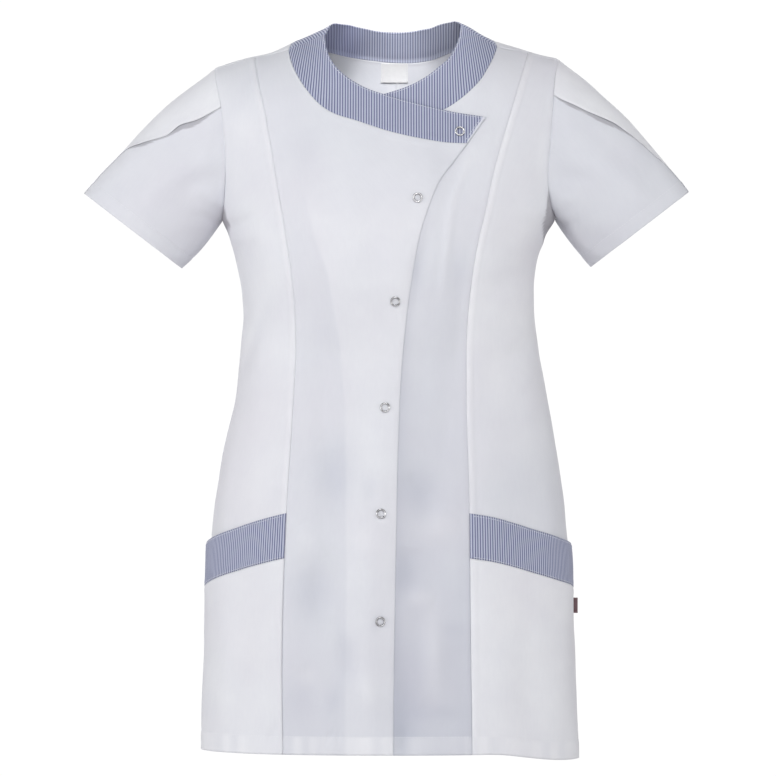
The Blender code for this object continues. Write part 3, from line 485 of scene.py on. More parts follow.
def foldHeight(face, point):
    x, z = point[..., 0], point[..., 2]
    total, fade = np.zeros(x.shape), worn["foldFade"]
    for zTop, zLow, xTop, xMiddle, xLow, halfWidth, depth in metres(worn["folds"][face]):
        t = (z - zTop) / (zLow - zTop)
        line = xTop + (xLow - xTop) * t + 4 * (xMiddle - (xTop + xLow) / 2) * t * (1 - t)
        total += depth * blend(t, 0, fade) * blend(t, 1, 1 - fade) * hump(x - line, halfWidth)
    return total


def lapLift(x):  # the upper front stands off the lower one
    return worn["lift"] * blend(x, worn["liftFrom"], worn["liftTo"])


# Creases and soft light

creases = {  # half width, depth and then x and z down their line, all in mm
    front: (
        (5, 0.55, (-92, -118), (-79, -179), (-63, -220), (-51, -288), (-46, -356), (-45, -512), (-46, -690)),
        (15, -1.5, (-86, -170), (-72, -300), (-70, -430), (-74, -640)),
        (17, 1.5, (-20, -420), (-27, -560), (-20, -700)), (15, -2, (-60, -400), (-52, -460)),
        (17, -2.4, (-86, -525), (-62, -570)), (15, -2, (-92, -620), (-66, -662)),
        (10, -1.6, (-48, -575), (-42, -628)), (14, 1.8, (-94, -480), (-70, -512)),
        (9, -1.3, (-24, -425), (-14, -462)), (9, 1.2, (-30, -628), (-16, -662)),
        (14, -0.7, (-66, -130), (-52, -165)), (6, 0.6, (-76, -150), (-72, -190)),
        (18, 1, (-40, -95), (10, -120), (30, -118)), (22, -0.9, (-88, -60), (-70, -120), (-62, -180)),
        (5, 1, (80, -104), (65, -145), (58, -199), (54, -240)),
        (8, -1.5, (40, -180), (28, -215), (22, -262)), (11, -1.2, (66, -190), (72, -240), (70, -310)),
        (13, 0.9, (52, -250), (46, -330), (44, -420)), (13, -2.4, (22, -500), (14, -550)),
        (12, -1.8, (18, -425), (40, -452)), (14, 2, (62, -462), (36, -492)),
        (12, 2, (43, -570), (46, -640)), (14, -2.4, (12, -605), (18, -694)),
        (12, -1.6, (32, -658), (66, -684)), (10, 1.2, (24, -545), (44, -556)),
        (8, 0.8, (164, -60), (160, -140)), (12, -0.9, (98, -232), (138, -222)),
        (11, -0.8, (150, -286), (112, -312)), (20, 1, (112, -330), (128, -430)),
        (13, -1.1, (-126, -262), (-154, -318)), (15, 0.9, (-132, -160), (-128, -215)),
        (13, -0.8, (-112, -390), (-150, -402)), (12, 0.9, (-122, -70), (-150, -76)),
        (6, -1.1, (-170, -172), (-138, -160)), (6, 0.8, (-165, -186), (-136, -180)),
        (6, -1, (168, -172), (136, -158)), (6, 0.7, (160, -188), (134, -178)),
        (18, -1, (-150, -560), (-146, -690)), (20, 0.9, (-124, -540), (-126, -680)),
        (20, -1, (140, -560), (150, -700)), (18, 0.8, (112, -545), (112, -690)),
    ),
    back: (
        (12, -1, (-72, -292), (-20, -304), (40, -298), (76, -306)),
        (11, 0.7, (-66, -318), (0, -326), (58, -318)), (13, -0.8, (-48, -338), (20, -348), (70, -342)),
        (10, -1.2, (-150, -150), (-118, -126), (-86, -118)), (9, 0.9, (-148, -172), (-110, -152)),
        (10, -1.3, (148, -152), (112, -124), (82, -120)), (9, 0.9, (150, -176), (114, -154)),
        (16, -1.1, (-38, -60), (-46, -170), (-40, -250)), (15, -1, (44, -52), (50, -150), (44, -236)),
        (20, 1, (-88, -30), (-84, -100)), (20, 1, (92, -30), (88, -96)),
        (17, -1.6, (-60, -470), (-66, -600), (-62, -705)),
        (16, 1.2, (-30, -440), (-34, -560), (-28, -690)), (18, -1.5, (58, -455), (66, -590), (68, -712)),
        (14, 1.1, (34, -450), (36, -560), (32, -640)),
        (16, -1.2, (-150, -480), (-160, -600), (-158, -700)),
        (16, -1.2, (150, -480), (160, -610), (162, -710)), (12, 0.8, (-130, -330), (-146, -400)),
        (12, 0.8, (128, -326), (146, -398)),
    ),
}
sleeveCreases = {  # half width and depth in mm, then the step round the sleeve and how far along it
    right: (
        (7, -1.2, (8.6, 0.02), (7.6, 0.25), (6.4, 0.50)), (6, 0.9, (7.6, 0.02), (6.6, 0.22), (5.6, 0.42)),
        (9, -1.0, (6.6, 0.04), (5.6, 0.25), (4.9, 0.45)), (13, 1.0, (5.0, 0.15), (4.2, 0.60), (3.8, 0.92)),
        (14, -1.0, (3.9, 0.10), (3.0, 0.50), (2.4, 0.90)), (11, -0.9, (7.6, 0.45), (6.4, 0.95)),
        (8, -1.1, (10.2, 0.02), (11.4, 0.30), (12.6, 0.50)), (14, 0.9, (13.2, 0.12), (14.0, 0.80)),
        (10, -0.8, (16.6, 0.02), (16.2, 0.35)),
    ),
    left: (
        (7, -1.3, (8.7, 0.02), (7.7, 0.28), (6.6, 0.54)), (6, 0.9, (7.7, 0.02), (6.8, 0.20), (5.9, 0.40)),
        (10, -1.0, (6.4, 0.04), (5.4, 0.28), (4.6, 0.50)),
        (13, 1.0, (4.8, 0.18), (4.0, 0.62), (3.5, 0.94)),
        (13, -0.9, (3.6, 0.12), (2.8, 0.52), (2.3, 0.92)), (11, -0.9, (7.3, 0.48), (6.2, 0.96)),
        (8, -1.0, (10.4, 0.02), (11.6, 0.28), (12.4, 0.52)), (14, 0.9, (13.4, 0.10), (14.2, 0.78)),
        (10, -0.8, (16.4, 0.02), (16.0, 0.38)),
    ),
}
tones = {  # light and shade of the soft folds by piece: x, z, half width and half height in mm, lean, share
    "right_centre": (
        (-56, -427, 20, 36, 0, -0.23), (-82, -546, 21, 34, 0.1, -0.21), (-42, -611, 9, 22, 0.1, -0.17),
        (-92, -655, 18, 26, 0, -0.17), (-85, -632, 9, 9, 0, 0.14), (-85, -492, 12, 14, 0, 0.12),
        (-23, -492, 12, 14, 0, 0.10), (-23, -642, 9, 15, 0, 0.14), (-58, -655, 9, 16, 0.2, -0.14),
        (-74, -166, 12, 16, 0, 0.08), (-48, -597, 8, 14, 0, -0.12), (-20, -440, 8, 14, 0, -0.12),
        (-30, -105, 40, 18, -0.3, 0.04), (-85, -90, 14, 24, 0, -0.07), (-66, -250, 14, 34, 0, -0.05),
        (-12, -575, 8, 12, 0.4, -0.09),
    ),
    "left_centre": (
        (27, -446, 21, 27, 0, -0.23), (51, -479, 25, 15, 0.3, 0.18), (15, -526, 13, 24, 0, -0.23),
        (30, -550, 12, 8, 0, 0.17), (44, -599, 10, 53, 0, 0.18), (18, -645, 17, 48, 0, -0.21),
        (44, -668, 24, 8, 0, -0.14), (64, -583, 14, 8, 0, -0.09), (71, -220, 8, 22, 0.05, -0.13),
        (27, -220, 7, 24, -0.1, -0.12), (78, -112, 5, 14, 0.3, 0.10), (65, -150, 5, 20, 0.25, 0.10),
        (12, -692, 11, 24, 0, -0.12), (66, -520, 10, 30, 0, 0.06), (58, -196, 5, 22, 0.1, 0.08),
        (28, -366, 16, 26, 0, -0.04),
    ),
    "right_side": (
        (-146, -68, 14, 15, 0, 0.07), (-142, -296, 6, 28, 0.41, -0.08), (-150, -290, 6, 24, 0.41, 0.05),
        (-114, -449, 9, 14, 0, -0.08), (-150, -22, 18, 14, 0, -0.07), (-130, -180, 12, 26, 0.1, 0.05),
    ),
    "left_side": (
        (162, -100, 3.5, 34, 0.02, -0.09), (155, -100, 3.5, 34, 0.02, 0.05), (127, -437, 34, 24, 0, -0.08),
        (112, -330, 12, 30, 0, 0.05),
    ),
    "pocket_right": (
        (-118, -680, 12, 36, 0, -0.06), (-150, -590, 20, 26, 0.2, 0.04),
    ),
    "pocket_left": (
        (120, -560, 30, 24, 0, 0.05), (108, -650, 26, 34, 0, -0.04),
    ),
    "back_": (
        (-66, -590, 14, 62, 0, -0.10), (66, -600, 14, 58, 0, -0.10), (-30, -560, 12, 50, 0, 0.06),
        (34, -550, 12, 44, 0, 0.06), (-20, -318, 60, 8, 0, 0.05), (12, -300, 58, 7, 0, -0.08),
        (18, -345, 52, 8, 0, -0.06), (-120, -140, 12, 16, 0.5, -0.08), (120, -140, 12, 16, -0.5, -0.08),
        (-42, -160, 12, 60, 0, -0.06), (46, -150, 12, 56, 0, -0.06),
    ),
}
creaseLook = {"reach": 2.6, "deepen": 1.9, "ends": 0.35, "fade": 0.6}
creaseLines = []  # half width, depth and the points of each line in space
ripples = {"longest": 0.085, "shortest": 0.028, "height": 0.00022, "count": 16, "ways": (1.0, 0.6, 0.45),
           "turn": 6.28}


def creaseHeight(points):
    flat = points.reshape(-1, 3)
    total = np.zeros(len(flat))
    for halfWidth, depth, line in creaseLines:
        reach = creaseLook["reach"] * halfWidth
        near = np.all((flat > line.min(axis=0) - reach) & (flat < line.max(axis=0) + reach), axis=1)
        if near.any():
            spots = flat[near]
            along = lengthsOf(line)
            best, where = np.full(len(spots), 1e9), np.zeros(len(spots))
            for i, (a, b) in enumerate(zip(line, line[1:])):
                t = np.clip((spots - a) @ (b - a) / ((b - a) @ (b - a)), 0, 1)
                gap = np.linalg.norm(spots - a - t[:, None] * (b - a), axis=1)
                closer = gap < best
                best = np.where(closer, gap, best)
                where = np.where(closer, along[i] + t * (along[i + 1] - along[i]), where)
            middle = np.sin(math.pi * np.clip(where / along[-1], 0, 1)) ** creaseLook["fade"]
            fade = creaseLook["ends"] + (1 - creaseLook["ends"]) * middle
            total[near] += creaseLook["deepen"] * depth * fade * hump(best, halfWidth)
    return total.reshape(points.shape[:-1])


def toneAt(name, points):
    total = np.zeros(points.shape[:-1])
    for part, spots in tones.items():
        for x, z, halfWidth, halfHeight, lean, share in spots if part in name else ():
            up = points[..., 2] * 1000 - z
            across = points[..., 0] * 1000 - x - lean * up
            total += share * hump(across, halfWidth) * hump(up, halfHeight)
    return total


def rippleHeight(points):
    dice = np.random.default_rng(11)
    total = np.zeros(points.shape[:-1])
    for _ in range(ripples["count"]):
        length = dice.uniform(ripples["shortest"], ripples["longest"])
        way = unit(dice.normal(size=3) * ripples["ways"])
        shift = dice.uniform(0, ripples["turn"])
        total += np.sin(points @ way * 2 * math.pi / length + shift) * length
    return total * ripples["height"] / ripples["longest"]


# The cut: seams as seen from in front, as (x, z)

cut = {
    "hemZ": -0.711, "hemDrop": 0.009, "hemDropFrom": 0.100, "hemDropTo": 0.190, "belowHem": -0.730,
    "armpitZ": -0.163, "armholeBackOut": 0.003, "pocketFront": (-0.511, -0.465),
    "pocketSide": (-0.546, -0.502), "rows": (80, 20, 104, 63), "crowding": 0.40, "hiddenX": -0.039,
    "hiddenZ": -0.300, "centreBack": (0.007, 0.000), "tip": {right: -0.182, left: 0.1745},
}
seamLines = {name: metres(line) for name, line in {  # in mm
    ("princess", right): (
        (-140, 6), (-136, -20), (-128, -55), (-120, -102), (-106, -187), (-99, -240), (-97, -290),
        (-99, -345), (-106, -465), (-110, -600), (-109, -730),
    ),
    ("princess", left): (
        (143, 10), (135, -18), (123, -58), (107, -112), (97, -158), (88, -198), (80, -262), (78, -330),
        (81, -450), (82, -560), (84, -730),
    ),
    "closing": (
        (79, -87), (64, -107), (51, -125), (42, -145), (33, -171), (22, -226), (13, -300), (8, -400),
        (6, -500), (4, -620), (3, -730),
    ),
    ("armhole", right): (
        (-182, -6.5), (-181, -14), (-178, -28), (-174.5, -45), (-172, -70), (-169.5, -105), (-170.2, -131),
        (-172.2, -150), (-174, -163),
    ),
    ("armhole", left): (
        (174.5, 2), (171.5, -10), (169, -33), (167, -60), (164.5, -90), (162.5, -122), (166.2, -146),
        (172.5, -163),
    ),
    "shoulder": (
        (-182, -6.5), (-140, 6), (-105, 13.5), (-67, 29), (73, 39.5), (111, 16.5), (143, 10), (174.5, 2),
    ),
    ("bandOuter", right): (
        (-105, 13.5), (-103.5, 5), (-98, -10), (-83, -34), (-71, -47), (-59, -55), (-33, -64), (6, -76.5),
        (48, -85), (79, -87),
    ),
    ("bandInner", right): (
        (-67, 29), (-66.5, 20), (-64, 9), (-57, -5), (-45.5, -17), (-30, -27), (5, -39.5), (36, -48),
        (73, -56), (98, -60),
    ),
    ("bandOuter", left): (
        (111, 16.5), (109, 10), (101, -7), (93, -20), (75, -38), (56, -51), (20, -64), (-39, -77),
    ),
    ("bandInner", left): (
        (73, 39.5), (72, 28), (66, 12), (61, 3), (51, -6.5), (36, -18), (16.5, -28), (0, -33.5),
        (-39, -43),
    ),
    "lowBack": (
        (-95, 18), (-80, 17), (-63, 15.5), (-45, 12.5), (-20, 9), (7, 7), (30, 7.5), (50, 11), (66, 16),
        (84, 21), (100, 23),
    ),
    "topBack": ((-52, 44), (-40, 43.5), (-24, 40.5), (6, 37.5), (30, 39.5), (48, 43), (62, 45),),
    "facing": (  # the edge of what is turned in behind the upper front
        (-92, -118), (-78.5, -179), (-63.2, -220), (-51, -288), (-45.9, -356), (-44.8, -512),
        (-45.9, -760),
    ),
}.items()}
snapSpots = ((0.0713, -0.0746), (0.0280, -0.1436), (0.0053, -0.2485), (-0.0051, -0.3569), (-0.0092, -0.4655),
             (-0.0098, -0.5752))
gaps = {"seam": 0.00006, "shoulder": 0.00010, "underarm": 0.0002, "armhole": 0.00008, "leaf": 0.00015,
        "laid": 0.0003}
wall, thinWall = 0.0009, 0.0005
frameWall = 0.0012
armRows = cut["rows"][3]
pocketRow, mouthRow = cut["rows"][0], cut["rows"][0] + cut["rows"][1]


def crowded(share, crowding):
    return share * (1 + crowding * (1 - share))


def seamward(count, pull=0.72, keep=()):
    share = np.linspace(0, 1, count + 1)
    share = share - pull * np.sin(2 * math.pi * share) / (2 * math.pi)
    return np.unique(np.concatenate([share, keep]).round(7))


def evenly(face, places, shares):
    points = formAt(face, places[:, 0], places[:, 1])
    along = lengthsOf(points)
    return np.stack([np.interp(along[-1] * shares, along, places[:, i]) for i in range(2)], axis=-1)


def joined(shares, *parts):
    total, start = sum(cells for cells, _ in parts), 0
    out = np.zeros((len(shares), 2))
    for cells, edge in parts:
        inside = (shares >= start / total - 1e-6) & (shares <= (start + cells) / total + 1e-6)
        out[inside] = edge(np.clip((shares[inside] * total - start) / cells, 0, 1))
        start += cells
    return out


def patch(rightEdge, leftEdge, low, top, shares, topRows=None):
    rows = len(rightEdge)
    u = shares[None, :, None]
    v = np.linspace(0, 1, rows)[:, None, None]
    count = rows - 1 if topRows is None else topRows
    nearTop = np.clip((np.arange(rows) - (rows - 1 - count)) / count, 0, 1)[:, None, None]
    lowShape = low[None] - ((1 - u) * low[0] + u * low[-1])
    topShape = top[None] - ((1 - u) * top[0] + u * top[-1])
    return (1 - u) * rightEdge[:, None] + u * leftEdge[:, None] + (1 - v) * lowShape + nearTop * topShape


def levels(marks):
    heights = [marks[0]]
    for low, top, count, crowding in zip(marks, marks[1:], cut["rows"], (0, 0, 0, cut["crowding"])):
        heights.extend(low + (top - low) * crowded(np.linspace(0, 1, count + 1)[1:], crowding))
    return np.array(heights)


def hemAt(x):
    return cut["hemZ"] - cut["hemDrop"] * blend(x, cut["hemDropFrom"], cut["hemDropTo"])


def hemLine(face, turns):
    return np.stack([turns, hemAt(formAt(face, turns, np.full(len(turns), cut["hemZ"]))[:, 0])], axis=-1)


def upright(face, points):
    line = curveThrough(points)
    start = placeAt(face, line[:1])[0, 1]
    heights = levels((hemAt(line[-1, 0]), *cut["pocketFront"], cut["armpitZ"], start))
    rises = placeAt(face, line)[:, 1]
    x = np.interp(heights, rises[::-1], line[::-1, 0])
    return placeAt(face, np.stack([x, np.interp(heights, rises[::-1], line[::-1, 1])], axis=-1))


def sideEdge(face, side):
    base = hemAt(side * halfWidthAt(cut["hemZ"]))
    heights = levels((base, *cut["pocketSide"], cut["armpitZ"], 0.0))[:-armRows]
    seam = np.stack([np.full(len(heights), side * math.pi / 2), heights], axis=-1)
    return np.concatenate([seam[:-1], armhole(face, side)])


def armhole(face, side):
    line = curveThrough(seamLines["armhole", side], 80)
    if face == front:
        places = placeAt(front, line)
    else:
        out = side * cut["armholeBackOut"] * np.sin(math.pi * np.linspace(0, 1, len(line)))
        stretch = np.linspace(ridgeAt(line[0, 0]) - line[0, 1], 0, len(line))
        places = placeAt(back, line + np.stack([out, stretch], axis=-1))
        places = np.concatenate([placeAt(back, line[:1], seen=front), places])
    places = places[::-1]
    places[0] = (side * math.pi / 2, cut["armpitZ"])
    return evenly(face, places, crowded(np.linspace(0, 1, armRows + 1), cut["crowding"]))


def shoulderSeam(face, start, end):
    seamX, seamZ = seamLines["shoulder"].T

    def edge(shares):
        x = start + (end - start) * shares
        return placeAt(face, np.stack([x, np.interp(x, seamX, seamZ)], axis=-1), seen=front)

    return edge


def bandEdge(line):
    places = placeAt(front, curveThrough(line))
    return lambda shares: evenly(front, places, shares)


def backBandEdge(name, ends):
    rightEnd, leftEnd = (placeAt(back, seamLines[ends, side][:1], seen=front) for side in (right, left))
    places = np.concatenate([rightEnd, placeAt(back, seamLines[name]), leftEnd])
    line = curveThrough(places)
    x = formAt(back, line[:, 0], line[:, 1])[:, 0]
    split = int(np.argmin(np.abs(x - cut["centreBack"][0])))
    return (lambda shares: evenly(back, line[:split + 1], shares),
            lambda shares: evenly(back, line[split:], shares))


# Building a piece of cloth

sewing = {
    "ditch": 0.00026, "ditchWidth": 0.0013, "puff": 0.00030, "puffAt": 0.0042, "puffWidth": 0.0032,
    "hemDepth": 0.0185, "hemThick": 0.00035, "hemStep": (0.0008, 0.0012), "hemGroove": 0.00045,
    "grooveWidth": 0.0016, "grooveWave": (0.0093, 2.1, 0.071), "hemPullShade": 0.22,
    "toneWave": (0.027, 2.3, 0.083), "toneLength": 0.131, "pucker": 0.00018, "puckerAt": 0.62,
    "puckerWidth": 0.008, "puckerSlant": 0.55, "puckerWave": (0.031, 1.7, 0.113), "pullSize": (0.0024, 0.009),
    "trim": 0.002, "rollWidth": 0.0011, "turnedSoft": 0.0012,  # a wave: length, sway and the sway's length
    "pulls": ((-0.122, 0.0013, 0.5), (-0.061, 0.0016, 0.35), (-0.052, 0.0013, 0.1), (0.014, 0.0018, 0.3),
              (-0.160, 0.0005, 0.4), (0.052, 0.0005, -0.3), (0.118, 0.0005, 0.4), (0.151, 0.0006, 0.2),
              (0.212, 0.0006, 0.4), (0.262, 0.0008, 0.3), (0.334, 0.0007, 0.4), (0.371, 0.0006, -0.2),
              (0.428, 0.0007, 0.3)),  # puckers in the hem: x, depth, lean
}
stitchShape = {
    "length": 0.0024, "pitch": 0.0031, "radius": 0.00019, "sides": 6, "spare": 0.001,
    "along": (0.0, 0.12, 0.35, 0.65, 0.88, 1.0), "rise": (-0.9, 0.15, 0.55, 0.55, 0.15, -0.9),
    "thick": (0.35, 0.85, 1.0, 1.0, 0.85, 0.35),
}
hemStitch = (("low", sewing["hemDepth"], sewing["trim"]),)
panelSeams = {"right": "seam", "left": "seam", "top": "shoulder"}


def distances(points):
    across = np.linalg.norm(np.diff(points, axis=1), axis=2)
    up = np.linalg.norm(np.diff(points, axis=0), axis=2)
    fromRight = np.pad(np.cumsum(across, axis=1), ((0, 0), (1, 0)))
    fromLow = np.pad(np.cumsum(up, axis=0), ((1, 0), (0, 0)))
    return {"right": fromRight, "left": fromRight[:, -1:] - fromRight,
            "low": fromLow, "top": fromLow[-1:] - fromLow}


def allowance(distance, depth):
    return blend(distance, depth + sewing["turnedSoft"], depth - sewing["turnedSoft"])


def sewnShape(gap, *edges):
    return sum(sewing["puff"] * hump(gap[edge] - sewing["puffAt"], sewing["puffWidth"])
               - sewing["ditch"] * hump(gap[edge], sewing["ditchWidth"]) for edge in edges)


def waver(x, length, sway, swayLength, shift=0.0):
    return np.sin((x + shift) * 2 * math.pi / length + sway * np.sin(x * 2 * math.pi / swayLength))


def hemTone(distance, x, share):  # doubled cloth is lighter, with painted light and shade in bars where it pulls
    uneven = waver(x, *sewing["toneWave"]) * np.sin(x * 2 * math.pi / sewing["toneLength"])
    return (share + sewing["hemPullShade"] * uneven) * allowance(distance, sewing["hemDepth"])


def hemShape(distance, x):
    past = distance - sewing["hemDepth"]
    inside = blend(past, sewing["hemStep"][0], -sewing["hemStep"][1])
    pull = 0.6 + 0.4 * waver(x, *sewing["grooveWave"])
    pucker = hump(distance - sewing["hemDepth"] * sewing["puckerAt"], sewing["puckerWidth"])
    twist = waver(x, *sewing["puckerWave"], distance * sewing["puckerSlant"])
    groove = hump(past, sewing["grooveWidth"]) * pull
    shape = sewing["hemThick"] * inside - sewing["hemGroove"] * groove + sewing["pucker"] * pucker * twist
    wide, tall = sewing["pullSize"]
    for at, depth, lean in sewing["pulls"]:
        shape = shape - depth * hump(x - at - lean * past, wide) * hump(past, tall)
    return shape


def drawnIn(grid, seams):
    moved = grid.copy()
    edges = {"right": ((slice(None), 0), (slice(None), 1)), "left": ((slice(None), -1), (slice(None), -2)),
             "low": (0, 1), "top": (-1, -2)}
    for seam, kind in seams.items():
        edge, beside = edges[seam]
        moved[edge] += unit(grid[beside] - grid[edge]) * gaps[kind] / 2
    return moved


def addMesh(name, verts, faces, look):
    piece = linked(name, [tuple(v) for v in verts], [tuple(f) for f in faces], finishes[look])
    piece.data.shade_smooth()
    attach(piece, bodyName)
    return piece


def tubeFaces(rings, around):
    sides = [(i + k, i + (k + 1) % around, i + around + (k + 1) % around, i + around + k)
             for i in range(0, (rings - 1) * around, around) for k in range(around)]
    return sides + [tuple(range(around))[::-1], tuple(range((rings - 1) * around, rings * around))]


def stitchRow(path, normals):
    along, pitch, sides = lengthsOf(path), stitchShape["pitch"], stitchShape["sides"]
    count = max(1, int((along[-1] - stitchShape["spare"]) / pitch))
    margin = (along[-1] - count * pitch) / 2
    starts = margin + np.arange(count) * pitch + (pitch - stitchShape["length"]) / 2
    rise, thick = (np.array(stitchShape[part])[:, None] * stitchShape["radius"] for part in ("rise", "thick"))
    angles = 2 * math.pi * np.arange(sides) / sides
    tube = tubeFaces(len(rise), sides)
    verts, faces = [], []
    for start in starts:
        at = start + np.array(stitchShape["along"]) * stitchShape["length"]
        centre, up = (np.stack([np.interp(at, along, line[:, i]) for i in range(3)], axis=-1)
                      for line in (path, normals))
        up = unit(up)
        beside = unit(np.cross(up, unit(centre[-1] - centre[0])))
        ring = centre[:, None] + up[:, None] * (rise + thick * np.sin(angles))[..., None]
        faces += [tuple(i + len(verts) for i in face) for face in tube]
        verts += list((ring + beside[:, None] * (thick * np.cos(angles))[..., None]).reshape(-1, 3))
    return verts, faces


def rowAt(grid, normals, gap, edge, depth, trim):
    if edge in ("right", "left"):
        grid, normals, gap = (a.swapaxes(0, 1) for a in (grid, normals, gap))
    path, ups = [], []
    for j in range(gap.shape[1]):
        order = np.argsort(gap[:, j])
        for out, values in ((path, grid), (ups, normals)):
            out.append([np.interp(depth, gap[order, j], values[order, j, i]) for i in range(3)])
    path, ups = np.array(path), unit(np.array(ups))
    along = lengthsOf(path)
    keep = (along > trim) & (along < along[-1] - trim) if trim else slice(None)
    return path[keep], ups[keep]


def sewThread(name, grid, normals, gap, stitches):
    verts, faces = [], []
    for edge, depth, trim in stitches:
        more, quads = stitchRow(*rowAt(grid, normals, gap[edge], edge, depth, trim))
        faces += [tuple(i + len(verts) for i in quad) for quad in quads]
        verts += more
    return addMesh(name + "_thread", verts, faces, "thread")


def store(piece, title, numbers):
    kind = ("FLOAT_VECTOR", "vector") if title == "cut" else ("FLOAT", "value")
    values = piece.data.attributes.new(title, kind[0], "POINT")
    values.data.foreach_set(kind[1], np.ascontiguousarray(numbers, dtype=np.float32).ravel())


def addSheet(title, name, slot, grid, gap, flip, thick, offset):
    rows, columns = grid.shape[:2]
    at = np.arange(rows * columns).reshape(rows, columns)
    quads = np.stack([at[:-1, :-1], at[:-1, 1:], at[1:, 1:], at[1:, :-1]], axis=-1).reshape(-1, 4)
    piece = addMesh(title, grid.reshape(-1, 3), quads[:, ::-1] if flip else quads, slot)
    store(piece, "cut", np.stack([gap["right"], gap["low"], np.zeros_like(gap["low"])], axis=-1))
    solid = piece.modifiers.new("wall", "SOLIDIFY")
    solid.thickness, solid.offset = thick, offset
    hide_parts(name)
    return piece


def clothPiece(name, slot, base, normals, seams, gap, height, body, stitches, stripe=None, thick=wall,
               paintedShade=0.0, paleFacingAndLight=0.0):
    height = height + creaseHeight(base) + rippleHeight(base)
    grid = drawnIn(base + normals * height[..., None], seams)
    first = np.cross(grid[0, 1] - grid[0, 0], grid[1, 0] - grid[0, 0])
    piece = addSheet(name + "_cloth", name, slot, grid, gap, first @ normals[0, 0] < 0, thick, -1)
    # on white cloth the body carries the backing together with painted light and shade by height and the
    # painted light and shade of the soft folds; the value stored last is painted shade
    if stripe is None:
        body = whites["least"] + (whites["most"] - whites["least"]) * body + toneAt(name, base)
    else:
        store(piece, "stripe", stripe)
        store(piece, "paleFacingAndLight", np.zeros(base.shape[:2]) + paleFacingAndLight)
    store(piece, "body", np.zeros(base.shape[:2]) + body)
    store(piece, "paintedShade", np.zeros(base.shape[:2]) + paintedShade)
    thread = sewThread(name, grid, normals, gap, stitches)
    crossing = np.cross(grid[1:, 1:] - grid[:-1, :-1], grid[1:, :-1] - grid[:-1, 1:])
    area = 0.5 * np.linalg.norm(crossing, axis=-1).sum()
    width, length = gap["right"][:, -1].max(), gap["low"][-1].max()
    print(f"{name}: {len(piece.data.polygons)} cells, cut {width:.3f} x {length:.3f} m, {area:.4f} m2")
    float(min(area, width * length))


def formCloth(face, places):
    turn, rise = places[..., 0], places[..., 1]
    point = formAt(face, turn, rise)
    return point, outwardAt(face, turn, rise), foldHeight(face, point)


def panel(face, first, last, low, top, shares, topRows=None, turned=False):
    low[0], low[-1], top[0], top[-1] = first[0], last[0], first[-1], last[-1]
    if turned:
        first, last, low, top = last, first, low[::-1], top[::-1]
    places = patch(first, last, low, top, shares, topRows)
    base, normals, folds = formCloth(face, places)
    return places, base, normals, folds, distances(base)


# Body panels

panels = {
    "columns": {"side": 46, "centreRight": 90, "centreLeft": 74, "back": 96}, "pull": 0.6,
    "pressedFront": 0.0065, "pressedBack": 0.009, "press": 0.0005, "backPress": 0.0003, "pressStart": 0.002,
    "pressTone": {right: 0.10, left: 0.22}, "backPressTone": 0.15, "sideShade": 0.012, "backShift": 0.3,
    "hemTone": {"side": 0.20, "back": 0.15, "over": 0.42, "under": 0.50}, "edge": 0.0004, "edgeWidth": 0.004,
    "dimple": (0.0007, 0.0085), "boss": (0.0004, 0.003), "faced": 0.26, "facedSoft": 0.0022,
    "facedFrom": 0.012, "lapShade": (0.16, 0.002, 0.007), "lapFrom": (-0.15, -0.22),
    "topCells": {"over": (2, 13), "under": (10, 2), "back": (6, 2, 7)},  # the parts of each top edge
}
shadeByHeight = {  # painted light and shade by height on the cloth's backing, from the hem up: heights and shares
    "over": ((-0.72, -0.67, -0.53, -0.31, -0.15, -0.09, 0.02), (0.24, 0.34, 0.53, 0.62, 0.66, 0.60, 0.62)),
    "under": ((-0.72, -0.66, -0.54, -0.31, -0.20, -0.14, 0.02), (-0.16, -0.10, 0.05, 0.42, 0.58, 0.68, 0.70)),
    right: ((-0.72, -0.45, -0.27, -0.08, 0.02), (0.86, 1.02, 0.94, 0.84, 0.70)),
    left: ((-0.72, -0.45, -0.27, -0.08, 0.02), (0.64, 0.66, 1.08, 0.92, 0.72)),
    "back": ((-0.72, -0.45, -0.20, -0.02, 0.02), (0.70, 0.74, 0.78, 0.86, 0.95)),
}
armpit = {  # the inner edge of the shade under each sleeve, as (x, z), and how deep it is
    right: ((-0.1717, -0.146), (-0.1705, -0.152), (-0.1688, -0.162), (-0.1668, -0.168)),
    left: ((0.1633, -0.123), (0.1605, -0.150), (0.1577, -0.175), (0.1568, -0.188)),
    "share": 0.62, "fade": 0.008, "top": (0.002, 0.010), "edge": (0.0006, 0.0008),
}


def armpitShade(side, base):
    line, z = np.array(armpit[side]), base[..., 2]
    past = side * (base[..., 0] - np.interp(-z, -line[:, 1], line[:, 0]))
    tall = blend(z, line[0, 1] + armpit["top"][0], line[0, 1] - armpit["top"][1])
    tall = tall * blend(z, line[-1, 1] - armpit["fade"], line[-1, 1])
    return armpit["share"] * tall * blend(past, -armpit["edge"][0], armpit["edge"][1])


def whitePanel(name, base, normals, seams, gap, height, body, hem, shift=0.0, paintedShade=0.0):
    x = base[..., 0] + shift
    height = height + sewnShape(gap, *seams) + hemShape(gap["low"], x)
    body = body + hemTone(gap["low"], x, panels["hemTone"][hem])
    clothPiece(name, "white_cloth", base, normals, seams, gap, height, body, hemStitch, paintedShade=paintedShade)
    return height


